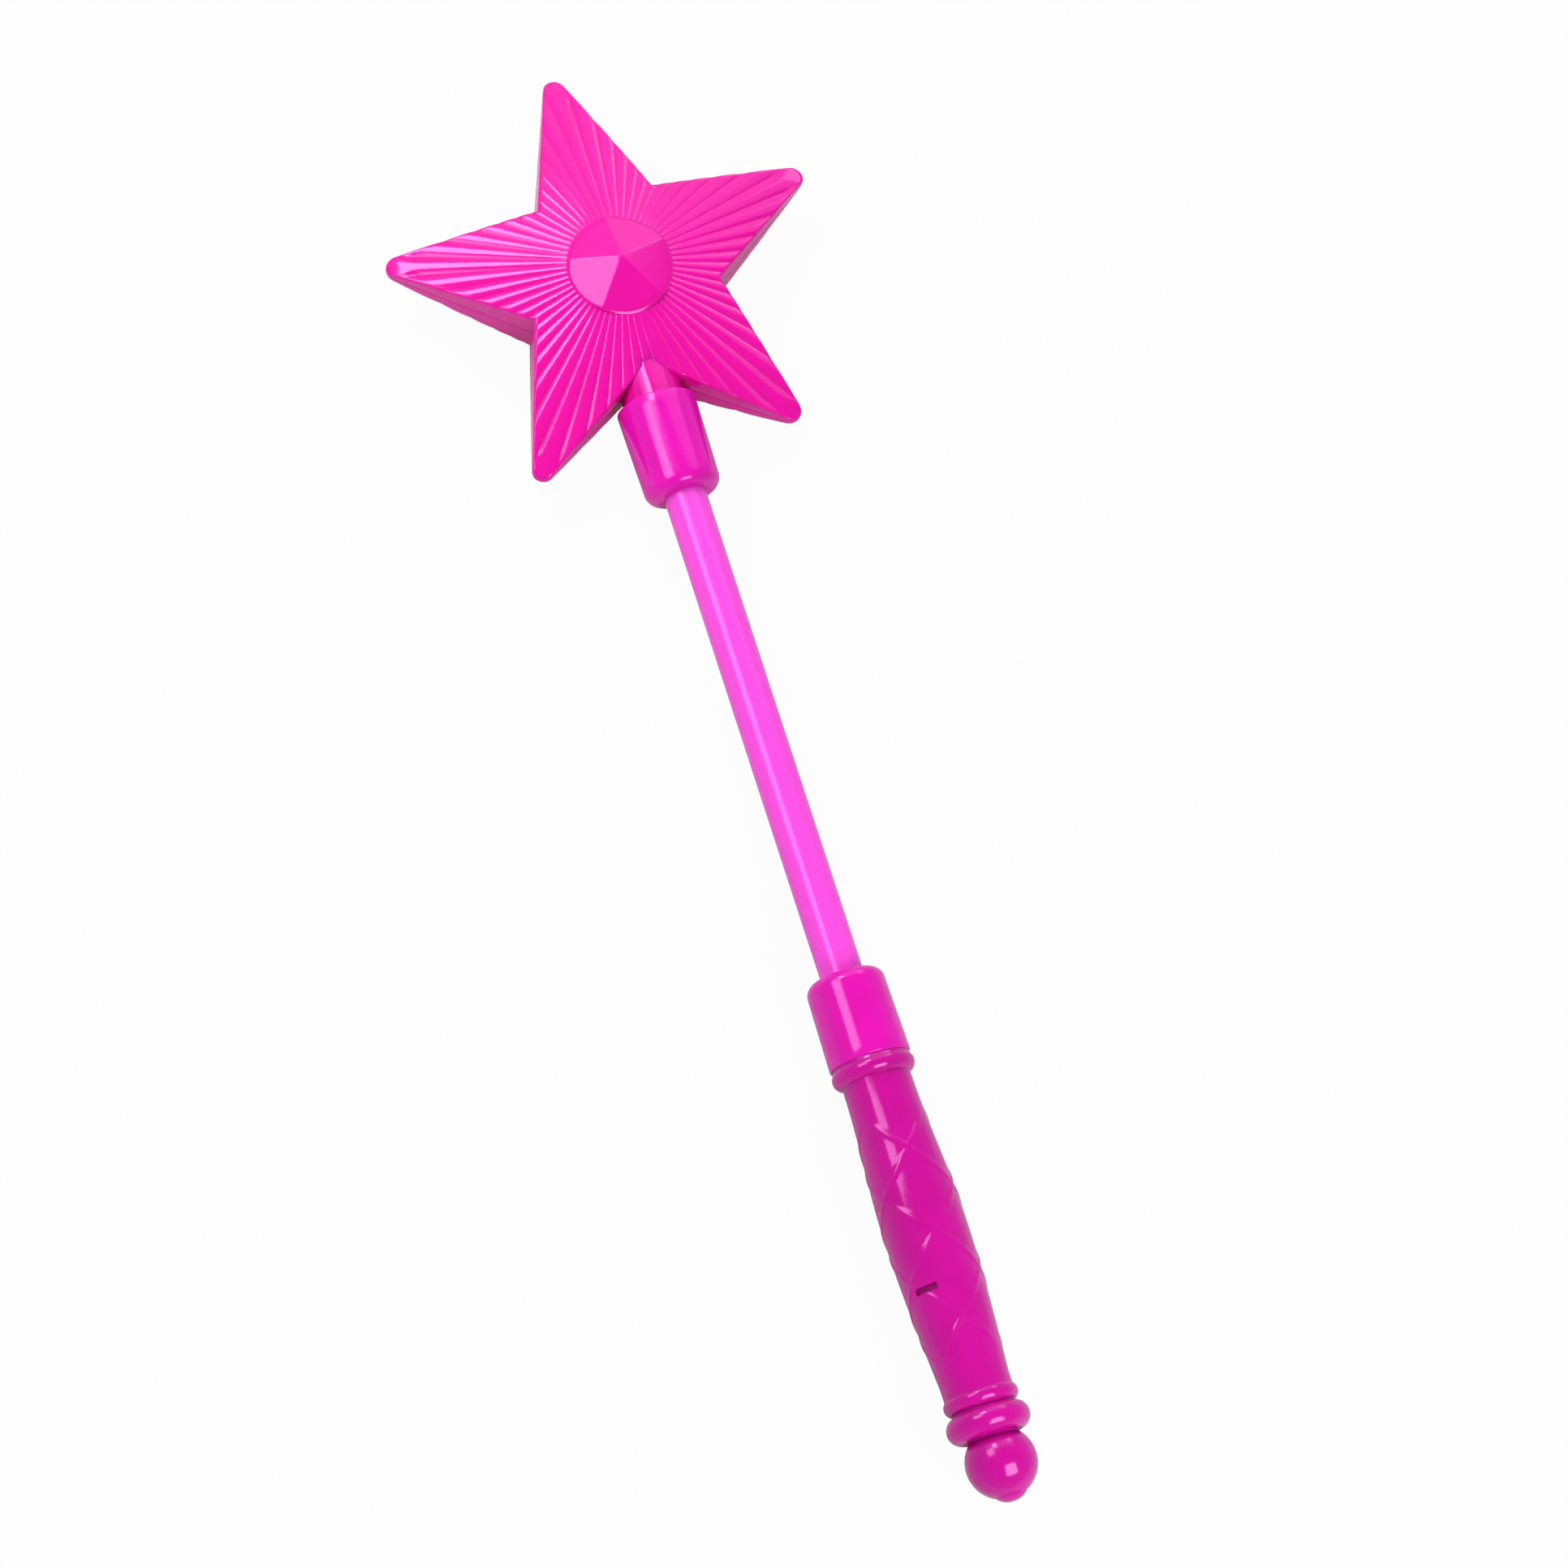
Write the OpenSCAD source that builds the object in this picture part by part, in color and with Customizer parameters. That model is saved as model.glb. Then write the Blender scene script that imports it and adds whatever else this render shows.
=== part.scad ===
// Toy magic wand with a ribbed star head, a tube stem and a battery handle.
// The wand lies on its back: +X runs across the star, +Y along the wand towards the star,
// and +Z out of the star's front face. The lowest point of the star's back is at Z = 0.

/* [Star] */
// Centre of the star to the outermost point of an arm
star_tip_r = 59.5; // [50:0.5:70]
// Centre of the star to the corner between two arms
star_inner_r = 26.4; // [24:0.2:30]
// Radius of the rounded arm ends, seen from the front
star_tip_round = 2.8; // [2.2:0.1:3.4]
// Half thickness of the ribbed cone where its sides would meet at the centre
star_half_centre = 13.4; // [12:0.1:16]
// Half thickness of the ribbed cone at the arm ends
star_half_tip = 1.7; // [1.2:0.1:2.6]
// Number of ribs round one face
rib_count = 60; // [40:5:80]
// Depth of the grooves between the ribs at the arm ends
rib_depth = 1.1; // [0.6:0.1:1.6]
// Radius of the faceted boss at the centre of a face
jewel_r = 13.2; // [10:0.2:16]
// Height of the boss's peak above the parting plane
jewel_peak = 16.8; // [15.5:0.1:19]
// Height of the boss's edge above the parting plane, in the middle of a facet
jewel_edge = 12.6; // [12:0.1:14]
// Thickness of the star's side walls
star_wall = 1.6; // [1.2:0.1:2]
// Thickness of the face behind the ribs, measured at the centre
star_face_wall = 2.2; // [1.8:0.1:3]
// Radius at which the hollow of the star runs out in each arm
star_hollow_r = 50; // [44:0.5:54]
// Radius of the circle that the star's locating pins lie on
star_pin_circle = 34; // [30:0.5:40]
// Diameter of the star's locating pins
star_pin_d = 2.6; // [2:0.1:3.2]
// Length of a locating pin past the parting plane
star_pin_reach = 2.2; // [1.5:0.1:2.6]

/* [Neck and ferrules] */
// Length of the star's neck that shows between its corner and the ferrule
neck_show = 9.1; // [6:0.1:12]
// Radius of the neck where it shows
neck_r = 8.2; // [8:0.1:8.6]
// Length of the ferrule under the star
head_ferrule_len = 25.9; // [22:0.1:32]
// Length of the ferrule on the handle
handle_ferrule_len = 22.8; // [20:0.1:30]
// Outer radius of a ferrule at its closed end
ferrule_end_r = 10; // [9.7:0.05:10.5]
// Outer radius of a ferrule at its mouth
ferrule_mouth_r = 10.4; // [10:0.05:10.8]
// Thickness of a ferrule's end wall
ferrule_end_wall = 3; // [2:0.1:4]
// Radius of the rounded edge at a ferrule's closed end
ferrule_round = 3.2; // [1:0.1:3.6]
// Radius of the spigots that the ferrules slide on to
spigot_r = 7.8; // [7.4:0.1:7.9]

/* [Stem] */
// Length of the stem that shows between the ferrules
stem_show = 132.8; // [90:0.1:180]
// Outer diameter of the stem tube
stem_d = 11; // [10:0.1:12]
// Wall of the stem tube
stem_wall = 1.2; // [0.8:0.1:1.6]
// Length of the stem held above the lower end of the head ferrule
stem_in_head = 21.4; // [15:0.1:24]
// Length of the stem held below the upper end of the handle ferrule
stem_in_handle = 18.1; // [12:0.1:19]

/* [Handle] */
// Radius of the lower ring, next to the ball
low_ring_r = 10.5; // [10:0.05:11.2]
// Height of the lower ring
low_ring_h = 7; // [6.6:0.1:8]
// Radius of the upper ring
up_ring_r = 9.4; // [9.1:0.05:9.8]
// Height of the upper ring
up_ring_h = 4.6; // [4:0.1:5]
// Radius of the groove between the rings
ring_groove_r = 8.6; // [8.4:0.05:8.9]
// Length of the grip from the upper ring to the flange
grip_len = 80.2; // [76:0.2:95]
// Height of the grip's slim part above the upper ring
grip_cove = 3; // [2:0.1:6]
// Radius of the grip above the upper ring
grip_low_r = 8.65; // [8.4:0.05:9]
// Largest radius of the grip
grip_belly_r = 10.4; // [9.9:0.05:11]
// Height of the belly above the upper ring
grip_belly_z = 41.4; // [34:0.2:52]
// Radius of the grip under the flange
grip_top_r = 8.7; // [8.4:0.05:9.3]
// Radius of the flange bead that the handle ferrule sits on
flange_r = 10.6; // [10.4:0.05:11.5]
// Height of the flange bead
flange_h = 5; // [4:0.1:6]
// Width of the slot for the cells' pull tab
tab_slot_w = 6.2; // [4:0.1:8]
// Height of that slot
tab_slot_h = 1.8; // [1.2:0.1:2.2]
// Angle of that slot to the left of the handle's front
tab_slot_angle = 38.5; // [25:0.5:60]

/* [Button] */
// Radius of the ball that is pressed
ball_r = 8.85; // [8.4:0.05:9]
// Distance of the ball's centre below the handle's rings
ball_drop = 6.5; // [6.3:0.05:8]
// Radius of the ball's neck
ball_neck_r = 6.4; // [5.8:0.05:6.6]
// Radius of the flange that keeps the button in
button_flange_r = 7.2; // [6.9:0.05:7.3]
// Thickness of that flange
button_flange_t = 1.5; // [1.2:0.1:1.8]
// Wall of the lower ring under that flange
button_wall = 2.8; // [2:0.1:3]
// Travel of the button
button_travel = 1.5; // [1:0.1:1.6]
// Radius of the rod that works the switch
button_rod_r = 2; // [1.6:0.1:2.4]
// Radius of the moulding pip at the end of the ball
pip_r = 1.8; // [1:0.1:2.4]
// Height of that pip
pip_h = 1; // [0.6:0.1:1.4]

/* [Battery and lamp] */
// Diameter of a button cell
cell_d = 11.6; // [11.2:0.1:11.8]
// Height of a button cell
cell_h = 5.4; // [5:0.1:5.6]
// Wall of the sleeve that holds the cells
sleeve_wall = 1; // [0.8:0.05:1.1]
// Height of the space for the contact spring under the cells
contact_room = 5.1; // [4.5:0.1:6]
// Thickness of the contact plate on the cells
plate_t = 0.4; // [0.3:0.05:0.6]
// Thickness of the circuit board
board_t = 1.2; // [1:0.1:1.6]
// Diameter of the circuit board
board_d = 12.2; // [11.8:0.1:12.4]
// Side of the switch's square body
switch_side = 7; // [6:0.1:7.4]
// Height of the switch's body
switch_h = 3.6; // [3.4:0.1:4]
// Height at which the circuit board lies, above the seam between the rings
board_z = 8; // [7.8:0.1:9]
// Diameter of the lamp
lamp_d = 5; // [4.6:0.1:5.2]
// Height of the lamp's lens
lamp_h = 8.6; // [7:0.1:9.4]
// Diameter of the insulated wires
wire_d = 0.8; // [0.6:0.05:0.9]
// Diameter of the wire that the springs are wound from
spring_wire_d = 0.5; // [0.4:0.05:0.6]
// Diameter of the handle screws' shanks
screw_d = 2.2; // [2:0.1:2.4]

/* [Fits] */
// Gap between a piece and the bore or seat that holds it
fit_gap = 0.1; // [0.05:0.01:0.15]
// Gap between a sliding piece and its bore
slide_gap = 0.08; // [0.05:0.01:0.1]
// Gap between the end of a spigot and the end wall of its ferrule
spigot_gap = 0.5; // [0.3:0.1:1]
// Free travel left past the end of the button's stroke
stroke_slack = 0.3; // [0.2:0.05:0.5]
// Gap between a wire and the ways cut for it
wire_gap = 0.4; // [0.3:0.05:0.6]

/* [Hidden] */
$fn = 64;

// How far a cut runs past the face that it opens.
over = 1;

pink = "#ee1fb0";
stem_pink = "#ff4be0";
grip_pink = "#d81ba2";

// Heights along the wand, from the seam between the two rings of the handle.
flange_z = up_ring_h + grip_len;
handle_mouth_z = flange_z + flange_h;
handle_end_z = handle_mouth_z + handle_ferrule_len;
head_end_z = handle_end_z + stem_show;
head_mouth_z = head_end_z + head_ferrule_len;
star_z = head_mouth_z + neck_show + star_inner_r;
ball_z = -low_ring_h - ball_drop;
wand_low = ball_z - ball_r - pip_h;
wand_high = star_z + star_tip_r;
wand_mid = (wand_low + wand_high) / 2;
axis_z = jewel_peak;

// Star outline and cones.
arm_angle = 72;
half_arm = arm_angle / 2;
tip_steps = 8;
tip_centre = star_tip_r - star_tip_round;
cone_slope = (star_half_centre - star_half_tip) / star_tip_r;
hollow_centre = star_half_centre - star_face_wall;
neck_in = 4;
neck_top = star_inner_r - neck_in;
star_pin_wall = 1.4;

// Stem.
stem_r = stem_d / 2;
stem_bore_r = stem_r - stem_wall;
stem_hole_r = stem_r + fit_gap;
stem_low = handle_end_z - stem_in_handle;
stem_high = head_end_z + stem_in_head;
stem_stop_t = 1.5;

// Ferrules.
ferrule_in_r = spigot_r + fit_gap;
head_spigot_len = head_ferrule_len - ferrule_end_wall - spigot_gap;
handle_spigot_len = handle_ferrule_len - ferrule_end_wall - spigot_gap;
round_steps = 6;

// Handle hollow, from the switch at the bottom to the stem stop at the top.
cell_r = cell_d / 2;
sleeve_in_r = cell_r + fit_gap;
sleeve_out_r = sleeve_in_r + sleeve_wall;
bore_r = sleeve_out_r + fit_gap;
bore_wall = 2.3;
bore_top_r = grip_top_r - bore_wall;
bore_taper = 10;
bore_taper_drop = 15;
bore_taper_z = flange_z - bore_taper_drop;
board_r = board_d / 2;
board_room_r = board_r + fit_gap;
switch_room_r = 5.6;
spring_rib_t = 1.2;
rod_gap = 1;
spring_rib_r = button_rod_r + rod_gap;
belly_steps = 12;
bead_steps = 10;

// Button, bottom to top.
flange_low = -low_ring_h + button_wall;
flange_high = flange_low + button_flange_t;
flange_room_high = flange_high + button_travel + stroke_slack;
flange_gap = 0.2;
flange_room_r = button_flange_r + flange_gap;
mouth_chamfer = 1.3;
plunger_out = button_travel + stroke_slack;
switch_low = board_z - switch_h;
plunger_low = switch_low - plunger_out;
plunger_in = 1.5;
plunger_r = 1.6;
spring_rib_low = plunger_low - spring_rib_t;
coil_gap = 1.6;
button_coil_r = button_rod_r + coil_gap;
button_coil_turns = 3;

// Battery, bottom to top.
board_top = board_z + board_t;
sleeve_lift = 3.3;
sleeve_low = board_top + sleeve_lift;
cells_low = board_top + contact_room;
cells_high = cells_low + 3 * cell_h;
plate_high = cells_high + plate_t;
bulkhead_t = 2;
cap_r = 4.6;
cap_h = 0.6;
plate_inset = 0.2;
contact_foot_r = 4.6;
contact_tip_r = 2.4;
contact_turns = 3;

// Wires: both lie in the seam plane of the handle.
lead_x = 1.27;
lead_d = 0.5;
side_x = 3.8;
slot_x = (cell_r + bore_r) / 2;
foot_inset = 0.9;
foot_x = board_r - foot_inset;
foot_rise = 1.4;
slot_rise = 2.6;
way_rise = 1.5;
side_rise = 6;
spread_low = 10;
spread_high = 1;
wire_ease = 1;
wire_r = wire_d / 2;
wire_slit = wire_d + 2 * wire_gap;
wire_sides = 8;

// Lamp, in the neck of the star.
lamp_r = lamp_d / 2;
lamp_rim_w = 0.4;
lamp_rim_r = lamp_r + lamp_rim_w;
lamp_rim_h = 1;
lamp_sink = 3.4;
lamp_z = star_z - neck_top - lamp_rim_h - lamp_sink;
lead_len = 9;
holder_flange_w = 0.7;
holder_flange_r = stem_hole_r + holder_flange_w;
holder_flange_t = 1.5;
holder_len = 10;

// Screws, put in from the back.
screw_low_rise = 13.5;
screw_high_drop = 7;
screw_z = [cells_high + screw_low_rise, flange_z - screw_high_drop];
screw_r = screw_d / 2;
screw_head_r = 2;
screw_head_h = 1.5;
screw_sink = 1;
screw_bite = 3.6;
screw_room = 0.5;
head_room = 0.3;
boss_r = 2.6;

// A point list along an arc, in degrees.
function arc(x, y, r, from, to, steps) =
    [for (i = [0:steps]) let (a = from + (to - from) * i / steps) [x + r * cos(a), y + r * sin(a)]];

// Angle round a rounded arm end at which the line from the inner corner touches it.
function touch_angle(inner_r, round_r) =
    let (dx = inner_r * cos(half_arm) - tip_centre, dy = inner_r * sin(half_arm))
    atan2(dy, dx) - acos(round_r / norm([dx, dy]));

function turned(p, a) = [p[0] * cos(a) - p[1] * sin(a), p[0] * sin(a) + p[1] * cos(a)];

// Star outline with rounded arm ends, first arm along +Y.
function star_points(inner_r, round_r) =
    let (touch = touch_angle(inner_r, round_r))
    [for (k = [0:4]) each concat(
        [for (p = arc(tip_centre, 0, round_r, -touch, touch, tip_steps)) turned(p, 90 + arm_angle * k)],
        [turned([inner_r, 0], 90 + arm_angle * k + half_arm)])];

// Distance of the star's straight edges from its centre.
edge_touch = touch_angle(star_inner_r, star_tip_round);
edge_distance = tip_centre * cos(edge_touch) + star_tip_round;
hollow_inner_r = star_inner_r * (edge_distance - star_wall) / edge_distance;
hollow_round = star_tip_round - star_wall;

// Height of the ribbed cone at a radius.
function cone_h(r) = star_half_centre - cone_slope * r;

// Radius of the grip at a height above the upper ring.
function grip_r(z) = z < grip_belly_z
    ? grip_low_r + (grip_belly_r - grip_low_r)
        * sin(90 * max(0, z - grip_cove) / (grip_belly_z - grip_cove))
    : grip_top_r + (grip_belly_r - grip_top_r)
        * (1 + cos(180 * (z - grip_belly_z) / (grip_len - grip_belly_z))) / 2;

// Places a shape made along Z so that it runs along the wand, with its -Y side to the front.
module along_wand() {
    translate([0, -wand_mid, axis_z]) rotate([-90, 0, 0]) children();
}

// Places a shape made flat, front up, at the centre of the star.
module at_star() {
    translate([0, star_z - wand_mid, axis_z]) children();
}

// Corner list with each inner corner cut off at a short distance before and after it.
function eased(corners) = let (last = len(corners) - 1)
    [corners[0],
        for (i = [1:last - 1]) let (a = corners[i - 1], b = corners[i], c = corners[i + 1])
            each [b + wire_ease * (a - b) / norm(a - b), b + wire_ease * (c - b) / norm(c - b)],
        corners[last]];

// Tube swept along corners (x, z) in the plane y = 0.
module swept_wire(corners) {
    route = eased(corners);
    last = len(route) - 1;
    function heading(i) =
        let (a = route[max(0, i - 1)], b = route[min(last, i + 1)]) (b - a) / norm(b - a);
    points = [for (i = [0:last]) let (h = heading(i)) for (k = [0:wire_sides - 1])
        let (a = 360 * k / wire_sides)
        [route[i][0] + wire_r * cos(a) * h[1], wire_r * sin(a), route[i][1] - wire_r * cos(a) * h[0]]];
    sides = [for (i = [0:last - 1]) for (k = [0:wire_sides - 1])
        let (a = i * wire_sides + k, b = i * wire_sides + (k + 1) % wire_sides)
        each [[a, b, a + wire_sides], [b, b + wire_sides, a + wire_sides]]];
    first_end = [for (k = [wire_sides - 1:-1:0]) k];
    last_end = [for (k = [0:wire_sides - 1]) last * wire_sides + k];
    polyhedron(points, concat(sides, [first_end, last_end]));
}

// Coil spring from height low to high, its middle line going from radius r_low to r_high.
module coil(low, high, r_low, r_high, turns) {
    rings = 16;
    sides = 6;
    wire = spring_wire_d / 2;
    last = round(rings * turns);
    span = high - low - spring_wire_d;
    points = [for (i = [0:last]) let (t = i / last, a = 360 * turns * t, r = r_low + (r_high - r_low) * t)
        for (k = [0:sides - 1]) let (b = 360 * k / sides, out = r + wire * cos(b))
        [out * cos(a), out * sin(a), low + wire + span * t + wire * sin(b)]];
    skin = [for (i = [0:last - 1]) for (k = [0:sides - 1])
        let (a = i * sides + k, b = i * sides + (k + 1) % sides)
        each [[a, a + sides, b], [b, a + sides, b + sides]]];
    first_end = [for (k = [0:sides - 1]) k];
    last_end = [for (k = [sides - 1:-1:0]) last * sides + k];
    polyhedron(points, concat(skin, [first_end, last_end]));
}

// Cone with straight ribs that all start from its peak.
module ribbed_cone() {
    reach = star_tip_r * 1.06;
    base = -4;
    steps = 2 * rib_count;
    groove = rib_depth * reach / star_tip_r;
    rim = [for (i = [0:steps - 1]) let (a = 90 + 360 * i / steps)
        [reach * cos(a), reach * sin(a), cone_h(reach) - (i % 2) * groove]];
    foot = [for (p = rim) [p[0], p[1], base]];
    points = concat([[0, 0, star_half_centre]], rim, foot);
    faces = concat(
        [for (i = [0:steps - 1]) [0, 1 + (i + 1) % steps, 1 + i]],
        [for (i = [0:steps - 1]) each [
            [1 + i, 1 + (i + 1) % steps, 1 + steps + i],
            [1 + (i + 1) % steps, 1 + steps + (i + 1) % steps, 1 + steps + i]]],
        [[for (i = [0:steps - 1]) 1 + steps + i]]);
    polyhedron(points, faces);
}

// Five-sided boss at the centre of a face, its ridges towards the arm ends.
module jewel() {
    ridge_slope = (jewel_peak - jewel_edge) * cos(half_arm) / jewel_r;
    pyramid_r = jewel_r * 1.5;
    pyramid_h = ridge_slope * pyramid_r;
    intersection() {
        translate([0, 0, cone_h(jewel_r) - 2]) cylinder(h = jewel_peak, r = jewel_r);
        union() {
            translate([0, 0, jewel_peak - pyramid_h]) rotate([0, 0, 90])
                cylinder(h = pyramid_h, r1 = pyramid_r, r2 = 0, $fn = 5);
            cylinder(h = jewel_peak - pyramid_h, r = jewel_r);
        }
    }
}

// Hollow half of the star, its parting plane at Z = 0, with half of the neck.
module star_half() {
    difference() {
        union() {
            difference() {
                union() {
                    intersection() {
                        linear_extrude(star_half_centre) polygon(star_points(star_inner_r, star_tip_round));
                        ribbed_cone();
                    }
                    jewel();
                }
                intersection() {
                    translate([0, 0, -over]) linear_extrude(star_half_centre + over)
                        polygon(star_points(hollow_inner_r, hollow_round));
                    translate([0, 0, -hollow_centre])
                        cylinder(h = 2 * hollow_centre, r1 = 2 * star_hollow_r, r2 = 0);
                }
            }
            half_neck();
        }
        rotate([90, 0, 0]) cylinder(h = star_inner_r + neck_show + head_spigot_len + over, r = stem_hole_r);
    }
}

// Upper half of the neck and of the spigot inside the head ferrule.
module half_neck() {
    shoulder = star_inner_r + neck_show;
    intersection() {
        rotate([90, 0, 0]) union() {
            translate([0, 0, neck_top]) cylinder(h = shoulder - neck_top, r = neck_r);
            translate([0, 0, shoulder]) cylinder(h = head_spigot_len, r = spigot_r);
        }
        translate([-2 * neck_r, -shoulder - head_spigot_len, 0])
            cube([4 * neck_r, shoulder + head_spigot_len, 2 * neck_r]);
    }
}

// Children repeated on the arms at the locating pins' circle.
module at_pins() {
    for (k = [0:4]) rotate([0, 0, 90 + arm_angle * k]) translate([star_pin_circle, 0, 0]) children();
}

// Height at which the pins and their sockets are well inside the face wall.
pin_sink = 1;
pin_root = hollow_centre * (1 - star_pin_circle / star_hollow_r) + pin_sink;
pin_end_gap = 0.3;

module star_front_shell() {
    color(pink) at_star() {
        star_half();
        at_pins() translate([0, 0, -star_pin_reach])
            cylinder(h = star_pin_reach + pin_root, r = star_pin_d / 2);
    }
}

module star_rear_shell() {
    hole_r = star_pin_d / 2 + fit_gap;
    color(pink) at_star() mirror([0, 0, 1]) difference() {
        union() {
            star_half();
            at_pins() cylinder(h = pin_root, r = hole_r + star_pin_wall);
        }
        at_pins() translate([0, 0, -over]) cylinder(h = over + star_pin_reach + pin_end_gap, r = hole_r);
    }
}

// Plug with a flange that holds the lamp at the top of the neck.
module lamp_holder() {
    top = star_z - neck_top;
    color("white") along_wand() difference() {
        union() {
            translate([0, 0, top]) cylinder(h = holder_flange_t, r = holder_flange_r);
            translate([0, 0, top - holder_len]) cylinder(h = holder_len, r = stem_r);
        }
        translate([0, 0, lamp_z]) cylinder(h = top + holder_flange_t + over - lamp_z, r = lamp_r + fit_gap);
        translate([0, 0, top - holder_len - over])
            cylinder(h = lamp_z + lamp_rim_h - top + holder_len + over, r = lamp_rim_r + fit_gap);
    }
}

// Round-topped lamp with a rim at its foot.
module star_lamp() {
    color("#f7d7ee") along_wand() translate([0, 0, lamp_z]) {
        cylinder(h = lamp_rim_h, r = lamp_rim_r);
        cylinder(h = lamp_h - lamp_r, r = lamp_r);
        translate([0, 0, lamp_h - lamp_r]) sphere(r = lamp_r);
    }
}

module lamp_leads() {
    color("silver") along_wand() for (side = [-1, 1])
        translate([side * lead_x, 0, lamp_z - lead_len]) cylinder(h = lead_len, r = lead_d / 2, $fn = 24);
}

// Cup with a hole for the stem in its closed end, which lies at Z = 0; the mouth is up.
module ferrule(length) {
    difference() {
        rotate_extrude() polygon(concat(
            [[0, 0]],
            arc(ferrule_end_r - ferrule_round, ferrule_round, ferrule_round, -90, 0, round_steps),
            [[ferrule_mouth_r, length], [0, length]]));
        translate([0, 0, ferrule_end_wall]) cylinder(h = length, r = ferrule_in_r);
        translate([0, 0, -over]) cylinder(h = ferrule_end_wall + 2 * over, r = stem_hole_r);
    }
}

module head_ferrule() {
    color(pink) along_wand() translate([0, 0, head_end_z]) ferrule(head_ferrule_len);
}

module handle_ferrule() {
    color(pink) along_wand() translate([0, 0, handle_end_z]) mirror([0, 0, 1]) ferrule(handle_ferrule_len);
}

module stem_tube() {
    color(stem_pink) along_wand() translate([0, 0, stem_low]) difference() {
        cylinder(h = stem_high - stem_low, r = stem_r);
        translate([0, 0, -over]) cylinder(h = stem_high - stem_low + 2 * over, r = stem_bore_r);
    }
}

// Outside of the whole handle, from the lower ring to the end of the spigot.
module handle_outside() {
    low_half = low_ring_h / 2;
    up_half = up_ring_h / 2;
    bead_half = flange_h / 2;
    low_cut = acos((ring_groove_r - low_ring_r + low_half) / low_half);
    up_cut = acos((ring_groove_r - up_ring_r + up_half) / up_half);
    cove_cut = acos((grip_low_r - up_ring_r + up_half) / up_half);
    bead_cut = acos((grip_top_r - flange_r + bead_half) / bead_half);
    rotate_extrude() polygon(concat(
        [[0, -low_ring_h]],
        arc(low_ring_r - low_half, -low_half, low_half, -90, low_cut, bead_steps),
        arc(up_ring_r - up_half, up_half, up_half, -up_cut, cove_cut, bead_steps),
        [for (i = [0:belly_steps]) let (z = grip_cove + (grip_belly_z - grip_cove) * i / belly_steps)
            [grip_r(z), up_ring_h + z]],
        [for (i = [1:belly_steps - 1]) let (z = grip_belly_z + (grip_len - grip_belly_z) * i / belly_steps)
            [grip_r(z), up_ring_h + z]],
        arc(flange_r - bead_half, flange_z + bead_half, bead_half, -bead_cut, 90, bead_steps),
        [[spigot_r, handle_mouth_z], [spigot_r, handle_mouth_z + handle_spigot_len],
            [0, handle_mouth_z + handle_spigot_len]]));
}

// Room inside the handle: button, spring, switch, board, cells, wires and stem.
module handle_hollow() {
    stop_low = stem_low - stem_stop_t;
    guide_r = ball_neck_r + slide_gap;
    top = handle_mouth_z + handle_spigot_len + over;
    rotate_extrude() polygon([
        [0, -low_ring_h - over],
        [guide_r + mouth_chamfer + over, -low_ring_h - over],
        [guide_r, -low_ring_h + mouth_chamfer],
        [guide_r, flange_low],
        [flange_room_r, flange_low],
        [flange_room_r, flange_room_high],
        [switch_room_r, flange_room_high],
        [switch_room_r, spring_rib_low],
        [spring_rib_r, spring_rib_low],
        [spring_rib_r, spring_rib_low + spring_rib_t],
        [switch_room_r, spring_rib_low + spring_rib_t],
        [switch_room_r, board_z],
        [board_room_r, board_z],
        [board_room_r, sleeve_low],
        [bore_r, sleeve_low],
        [bore_r, bore_taper_z],
        [bore_top_r, bore_taper_z + bore_taper],
        [bore_top_r, stop_low],
        [stem_bore_r + fit_gap, stop_low],
        [stem_bore_r + fit_gap, stem_low],
        [stem_hole_r, stem_low],
        [stem_hole_r, top],
        [0, top]]);
}

// Wall across the handle above the contact plate, with ways through for both wires.
module bulkhead() {
    way_r = wire_r + wire_gap;
    rooted = 0.5;
    difference() {
        translate([0, 0, plate_high]) cylinder(h = bulkhead_t, r = bore_r + rooted);
        for (x = [side_x, -slot_x]) translate([x, 0, plate_high - over])
            cylinder(h = bulkhead_t + 2 * over, r = way_r);
    }
}

// Handle shell on the side of -Y, with bosses for the screws.
module handle_half() {
    intersection() {
        union() {
            difference() {
                handle_outside();
                handle_hollow();
            }
            bulkhead();
            intersection() {
                for (z = screw_z) translate([0, 0, z]) rotate([90, 0, 0])
                    cylinder(h = 4 * bore_r, r = boss_r, center = true);
                handle_outside();
            }
        }
        translate([-2 * flange_r, -2 * flange_r, -2 * low_ring_h])
            cube([4 * flange_r, 2 * flange_r, 2 * handle_end_z]);
    }
}

module tab_slot() {
    rotate([0, 0, -tab_slot_angle]) translate([-tab_slot_w / 2, -2 * flange_r, cells_high - tab_slot_h / 2])
        cube([tab_slot_w, 2 * flange_r - cell_r, tab_slot_h]);
}

module handle_front_shell() {
    color(grip_pink) along_wand() difference() {
        handle_half();
        tab_slot();
        for (z = screw_z) translate([0, over, z]) rotate([90, 0, 0])
            cylinder(h = over + screw_bite + screw_room, r = screw_r + fit_gap);
    }
}

// Depth of the seat under a screw's head, from the seam plane.
function screw_seat(z) = grip_r(z - up_ring_h) - screw_sink - screw_head_h;

module handle_rear_shell() {
    color(grip_pink) along_wand() mirror([0, 1, 0]) difference() {
        handle_half();
        for (z = screw_z) translate([0, over, z]) rotate([90, 0, 0]) {
            cylinder(h = 2 * flange_r, r = screw_r + fit_gap);
            translate([0, 0, over + screw_seat(z)])
                cylinder(h = 2 * flange_r, r = screw_head_r + head_room);
        }
    }
}

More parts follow.
